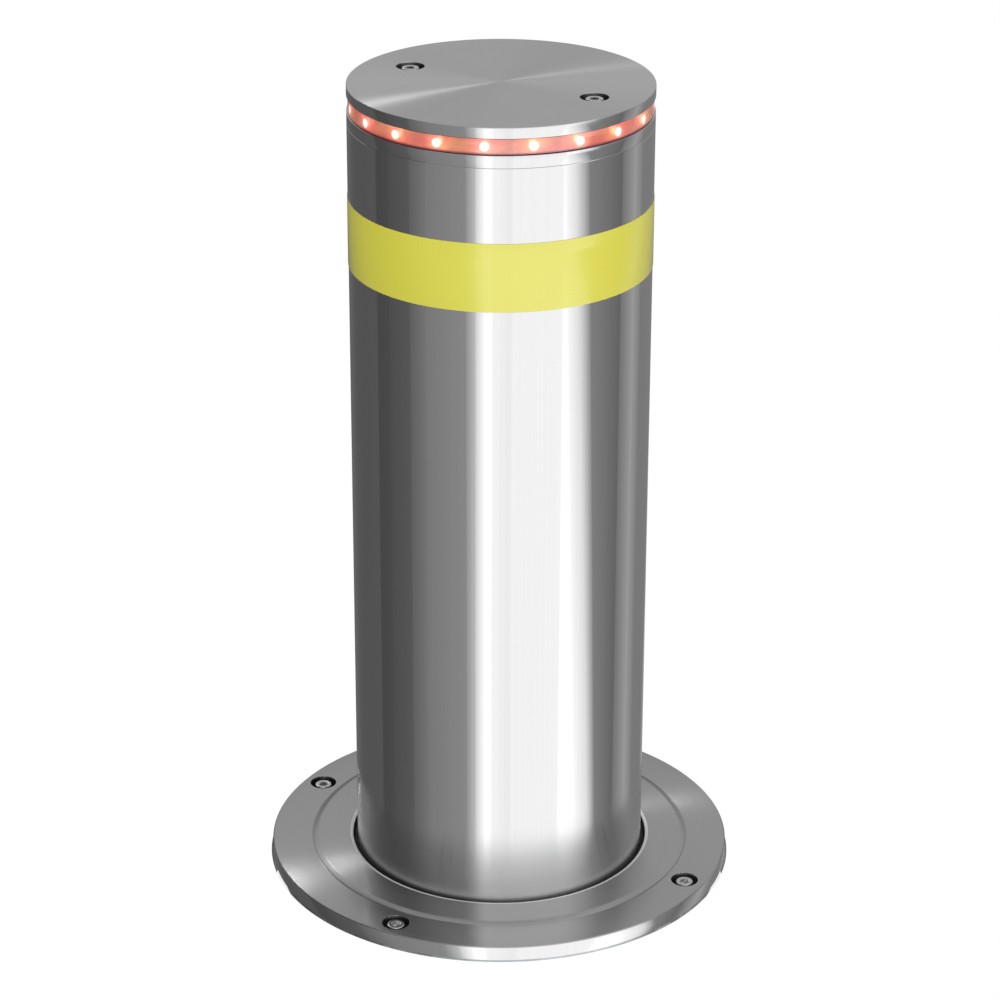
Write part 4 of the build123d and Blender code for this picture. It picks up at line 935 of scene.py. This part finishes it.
# %% [markdown]
# ## Paving, floor and room
#
# The photograph is cut out on white, so the paving shows as white to the camera. It still has to be
# there: it hides the casing, as real paving does. A pale floor lies under it, and lights what hangs
# in the ground.

# %% Paving and floor
PAVING_R, PAVING_HOLE_R, PAVING_TOP, PAVING_LOW = 450, 176.5, -0.5, -40
FLOOR_HALF, FLOOR_Z = 12, -0.8605  # in metres


def stage_object(name, mesh):
    """An object of the stage, which is no part of the bollard."""
    obj = bpy.data.objects.new(name, mesh)
    bpy.context.scene.collection.objects.link(obj)
    return obj


def white_to_camera(tree, shader, out, where):
    """Shows plain white to the camera where a factor says so, and the finish to all the rest."""
    lit = node(tree, "ShaderNodeEmission", {"Color": (1, 1, 1, 1), "Strength": 1.0})
    seen = node(tree, "ShaderNodeLightPath").outputs["Is Camera Ray"]
    share = maths(tree, "MULTIPLY", seen, where)
    both = node(tree, "ShaderNodeMixShader", {0: share, 1: shader.outputs[0], 2: lit.outputs[0]})
    tree.links.new(both.outputs[0], out.inputs[0])


paving_outline = [
    (PAVING_HOLE_R, PAVING_LOW),
    (PAVING_R, PAVING_LOW),
    (PAVING_R, PAVING_TOP),
    (PAVING_HOLE_R, PAVING_TOP),
]
paving = stage_object("paving", lathe_mesh("paving", paving_outline, 256))
smooth(paving.data)
paving.visible_glossy = False
m, tree, shader, out = material("paving_white")
grit = noise(tree, place_on(tree), 400.0, 4.0, 0.6)
set_values(shader, Roughness=0.8)
stone = shade(tree, grit, (0.72, 0.72, 0.72), (0.8, 0.8, 0.8))
tree.links.new(stone, shader.inputs["Base Color"])
normal = node(tree, "ShaderNodeNewGeometry").outputs["Normal"]
upward = node(tree, "ShaderNodeSeparateXYZ", {0: normal}).outputs[2]
white_to_camera(tree, shader, out, maths(tree, "GREATER_THAN", upward, 0.5))
coat_with(m, paving)

square = [(-1, -1), (1, -1), (1, 1), (-1, 1)]
floor_corners = [(x * FLOOR_HALF, y * FLOOR_HALF, FLOOR_Z) for x, y in square]
floor_mesh = bpy.data.meshes.new("floor")
floor_mesh.from_pydata(floor_corners, [], [(0, 1, 2, 3)])
floor = stage_object("floor", floor_mesh)
floor.visible_glossy = False
m, tree, shader, out = material("floor_pale")
place = place_on(tree)
pale_grey = shade(tree, noise(tree, place, 3.0), (0.84, 0.84, 0.84), (0.87, 0.87, 0.87))
tree.links.new(pale_grey, shader.inputs["Base Color"])
set_values(shader, Roughness=0.7)
away = node(tree, "ShaderNodeVectorMath", {0: place}, operation="LENGTH").outputs["Value"]
white_to_camera(tree, shader, out, between(tree, away, 1.1, 1.9))
coat_with(m, floor)
print("paving and floor laid")

# %% [markdown]
# Round the object stand upright flats in greys, as in a studio that photographs metal, because
# polished steel has no look of its own and only shows what stands round it. They are listed by
# compass angle, 0 towards the camera and plus to its right, with the level at each end. Seen from a
# little above, the column mirrors the lower part of the flats. Higher up they are calmer, for the
# cap, the flange and other views. The camera doesn't see the flats themselves.

# %% Levels of the flats
FLATS = [
    # from and to, in degrees, and the level at each
    (-180, -158, 0.165, 0.13),
    (-158, -140, 0.15, 0.12),
    (-140, -125, 0.12, 0.12),
    (-125, -104, 0.12, 0.13),
    (-104, -90, 0.09, 0.10),
    (-90, -70, 0.11, 0.14),
    (-70, -56, 0.17, 0.26),
    (-56, -25, 0.28, 0.36),
    (-25, -18, 0.42, 0.75),
    (-18, -12, 0.95, 1.45),
    (-12, -6, 1.60, 1.55),
    (-6, 8, 1.38, 1.24),
    (8, 46, 1.34, 1.36),
    (46, 56, 1.60, 1.52),
    (56, 67, 1.45, 1.10),
    (67, 75, 1.05, 0.36),
    (75, 100, 0.31, 0.18),
    (100, 118, 0.25, 0.48),
    (118, 128, 0.44, 0.30),
    (128, 160, 0.27, 0.23),
    (160, 180, 0.26, 0.54),
]
UPPER_FLATS = [
    (-125, -104, 0.12, 0.13),
    (-104, -90, 0.09, 0.10),
    (-90, -70, 0.11, 0.14),
    (-70, -56, 0.17, 0.26),
    (-56, -25, 0.28, 0.36),
    (-25, -14, 0.42, 0.85),
    (-14, 50, 0.97, 0.95),
    (50, 80, 0.93, 0.72),
    (80, 100, 0.64, 0.30),
    (100, 125, 0.28, 0.46),
]
print("flats listed:", len(FLATS), "low and", len(UPPER_FLATS), "high")

# %% [markdown]
# The flats stand on a ring 1.7 m from the axis. A few of their edges lean, because some bands in
# the photograph drift sideways on their way up. The low flats end a little above the paving, and a
# blend runs from there to the high ones. Behind the object there are no high flats, so that the cap
# and the flange mirror the far wall and the ceiling, in an even grey.

# %% Flats round the object
LEAN = {56: -16, 67: -19, 75: -15, 160: 24, 180: 0}  # degrees in a metre, by the edge's angle
LOW_END, LEAN_FROM, LEAN_ZERO, SPLIT = -4.0, -1.0, -0.5, 0.25  # heights in metres
BACK_TOP, UPPER_FROM, UPPER_END, CEILING = 0.45, 0.85, 3.0, 14.0
NEAR_R, FAR_R, PANEL_STEP = 1.7, 6.0, 3
BACK_FROM, BACK_LEVEL, CORNERS = 125, 0.5, 64
verts, faces, levels = [], [], []


def corner(radius, turn, height, level):
    """One corner of a flat, by its compass angle from the camera's side."""
    around = math.radians(turn - 90)
    verts.append((radius * math.cos(around), radius * math.sin(around), height))
    levels.append(level)


def upright(radius, start, stop, heights, level_a, level_b):
    """One curved panel, its level running evenly from one end to the other."""
    count = max(2, round((stop - start) / PANEL_STEP))
    rows = len(heights)
    for k in range(count + 1):
        t = k / count
        lean = LEAN.get(start, 0) * (1 - t) + LEAN.get(stop, 0) * t
        for height in heights:
            aside = lean * (min(max(height, LEAN_FROM), SPLIT) - LEAN_ZERO)
            level = level_a + (level_b - level_a) * t
            corner(radius, start + (stop - start) * t + aside, height, level)
        if k:
            for first in range(len(verts) - 2 * rows, len(verts) - rows - 1):
                faces.append((first, first + rows, first + rows + 1, first + 1))


def level_at(table, turn):
    """The level that a list of flats has at one angle."""
    for start, stop, level_a, level_b in table:
        if start <= turn <= stop:
            return level_a + (level_b - level_a) * (turn - start) / (stop - start)


for start, stop, level_a, level_b in FLATS:
    behind = min(abs(start), abs(stop)) >= BACK_FROM
    heights = (LOW_END, LEAN_FROM, SPLIT, BACK_TOP) if behind else (LOW_END, LEAN_FROM, SPLIT)
    upright(NEAR_R, start, stop, heights, level_a, level_b)
for start, stop, level_a, level_b in UPPER_FLATS:
    upright(NEAR_R, start, stop, (UPPER_FROM, UPPER_END), level_a, level_b)
blend = len(verts)
for turn in range(-BACK_FROM, BACK_FROM + 1):
    corner(NEAR_R, turn, SPLIT, level_at(FLATS, turn))
    corner(NEAR_R, turn, UPPER_FROM, level_at(UPPER_FLATS, turn))
faces += [(n, n + 2, n + 3, n + 1) for n in range(blend, len(verts) - 2, 2)]
upright(FAR_R, -180, 180, (LEAN_FROM, CEILING), BACK_LEVEL, BACK_LEVEL)
rim = len(verts)
for k in range(CORNERS):
    corner(FAR_R, 360 * k / CORNERS, CEILING, BACK_LEVEL)
faces.append(tuple(range(rim, rim + CORNERS)))
print("flats built:", len(faces), "faces")

# %% [markdown]
# Each corner of the flats keeps its level as a number on the mesh, and the flats give just that
# much light. So all of them share one material.

# %% Light from the flats
wall_mesh = bpy.data.meshes.new("flats")
wall_mesh.from_pydata(verts, [], faces)
store = wall_mesh.attributes.new("level", "FLOAT", "POINT")
store.data.foreach_set("value", levels)
flats = stage_object("flats", wall_mesh)
flats.visible_camera = False
flats.visible_shadow = False


def only_light(owner, kind, output, strength):
    """Makes the node tree of a material or world plain white light of some strength."""
    owner.use_nodes = True
    tree = owner.node_tree
    tree.nodes.clear()
    lit = node(tree, kind, {"Color": (1, 1, 1, 1)})
    node(tree, output, {0: lit.outputs[0]})
    if isinstance(strength, str):
        level = node(tree, "ShaderNodeAttribute", attribute_name=strength)
        tree.links.new(level.outputs["Fac"], lit.inputs["Strength"])
    else:
        lit.inputs["Strength"].default_value = strength


m = bpy.data.materials.new("flats_grey")
only_light(m, "ShaderNodeEmission", "ShaderNodeOutputMaterial", "level")
coat_with(m, flats)
print("flats lit with levels from", min(levels), "to", max(levels))

# %% [markdown]
# The world behind it all is plain white. One small lamp, high behind on the left, draws the bright
# wedges on the cap and the flange. Two wide soft lamps light the band and the light ring from the
# front, and don't show in the steel.

# %% World and lamps
world = bpy.data.worlds.new("white")
bpy.context.scene.world = world
only_light(world, "ShaderNodeBackground", "ShaderNodeOutputWorld", 1.0)
AIM = Vector((0, 0, 0.3))


def soft_lamp(name, place, size, watts, shines=True):
    """A round lamp that looks at the middle of the column."""
    data = bpy.data.lights.new(name, "AREA")
    data.shape, data.size, data.energy = "DISK", size, watts
    lamp = bpy.data.objects.new(name, data)
    bpy.context.scene.collection.objects.link(lamp)
    lamp.location = place
    lamp.rotation_mode = "QUATERNION"
    lamp.rotation_quaternion = (AIM - lamp.location).to_track_quat("-Z", "Y")
    lamp.visible_camera = False
    lamp.visible_glossy = shines
    print(name, "gives", watts, "W")


soft_lamp("back_left", (-1.386, 4.289, 3.231), 0.4, 4.5)
soft_lamp("fill_right", (1.25, -1.05, 0.7), 1.0, 8, shines=False)
soft_lamp("fill_left", (-1.45, -0.68, 0.7), 1.0, 13, shines=False)

# %% [markdown]
# ## Camera
#
# The camera's place and lens were found from the photograph's own outlines: the ellipses of the cap
# and the flange, the two ends of the band and the sides of the tube.

# %% Camera
CAMERA_PLACE = (0, -2.29075, 1.29247)
TILT, ROLL = math.radians(66.3727), math.radians(0.1535)
lens_data = bpy.data.cameras.new("camera")
lens_data.lens, lens_data.sensor_width = 121.11, 36.0
lens_data.clip_start, lens_data.clip_end = 0.05, 60.0
camera = bpy.data.objects.new("camera", lens_data)
bpy.context.scene.collection.objects.link(camera)
turned_down = Matrix.Rotation(TILT, 4, "X") @ Matrix.Rotation(ROLL, 4, "Z")
camera.matrix_world = Matrix.Translation(CAMERA_PLACE) @ turned_down
bpy.context.scene.camera = camera
bpy.context.scene.view_settings.view_transform = "Standard"
print("camera with a", round(lens_data.lens), "mm lens")
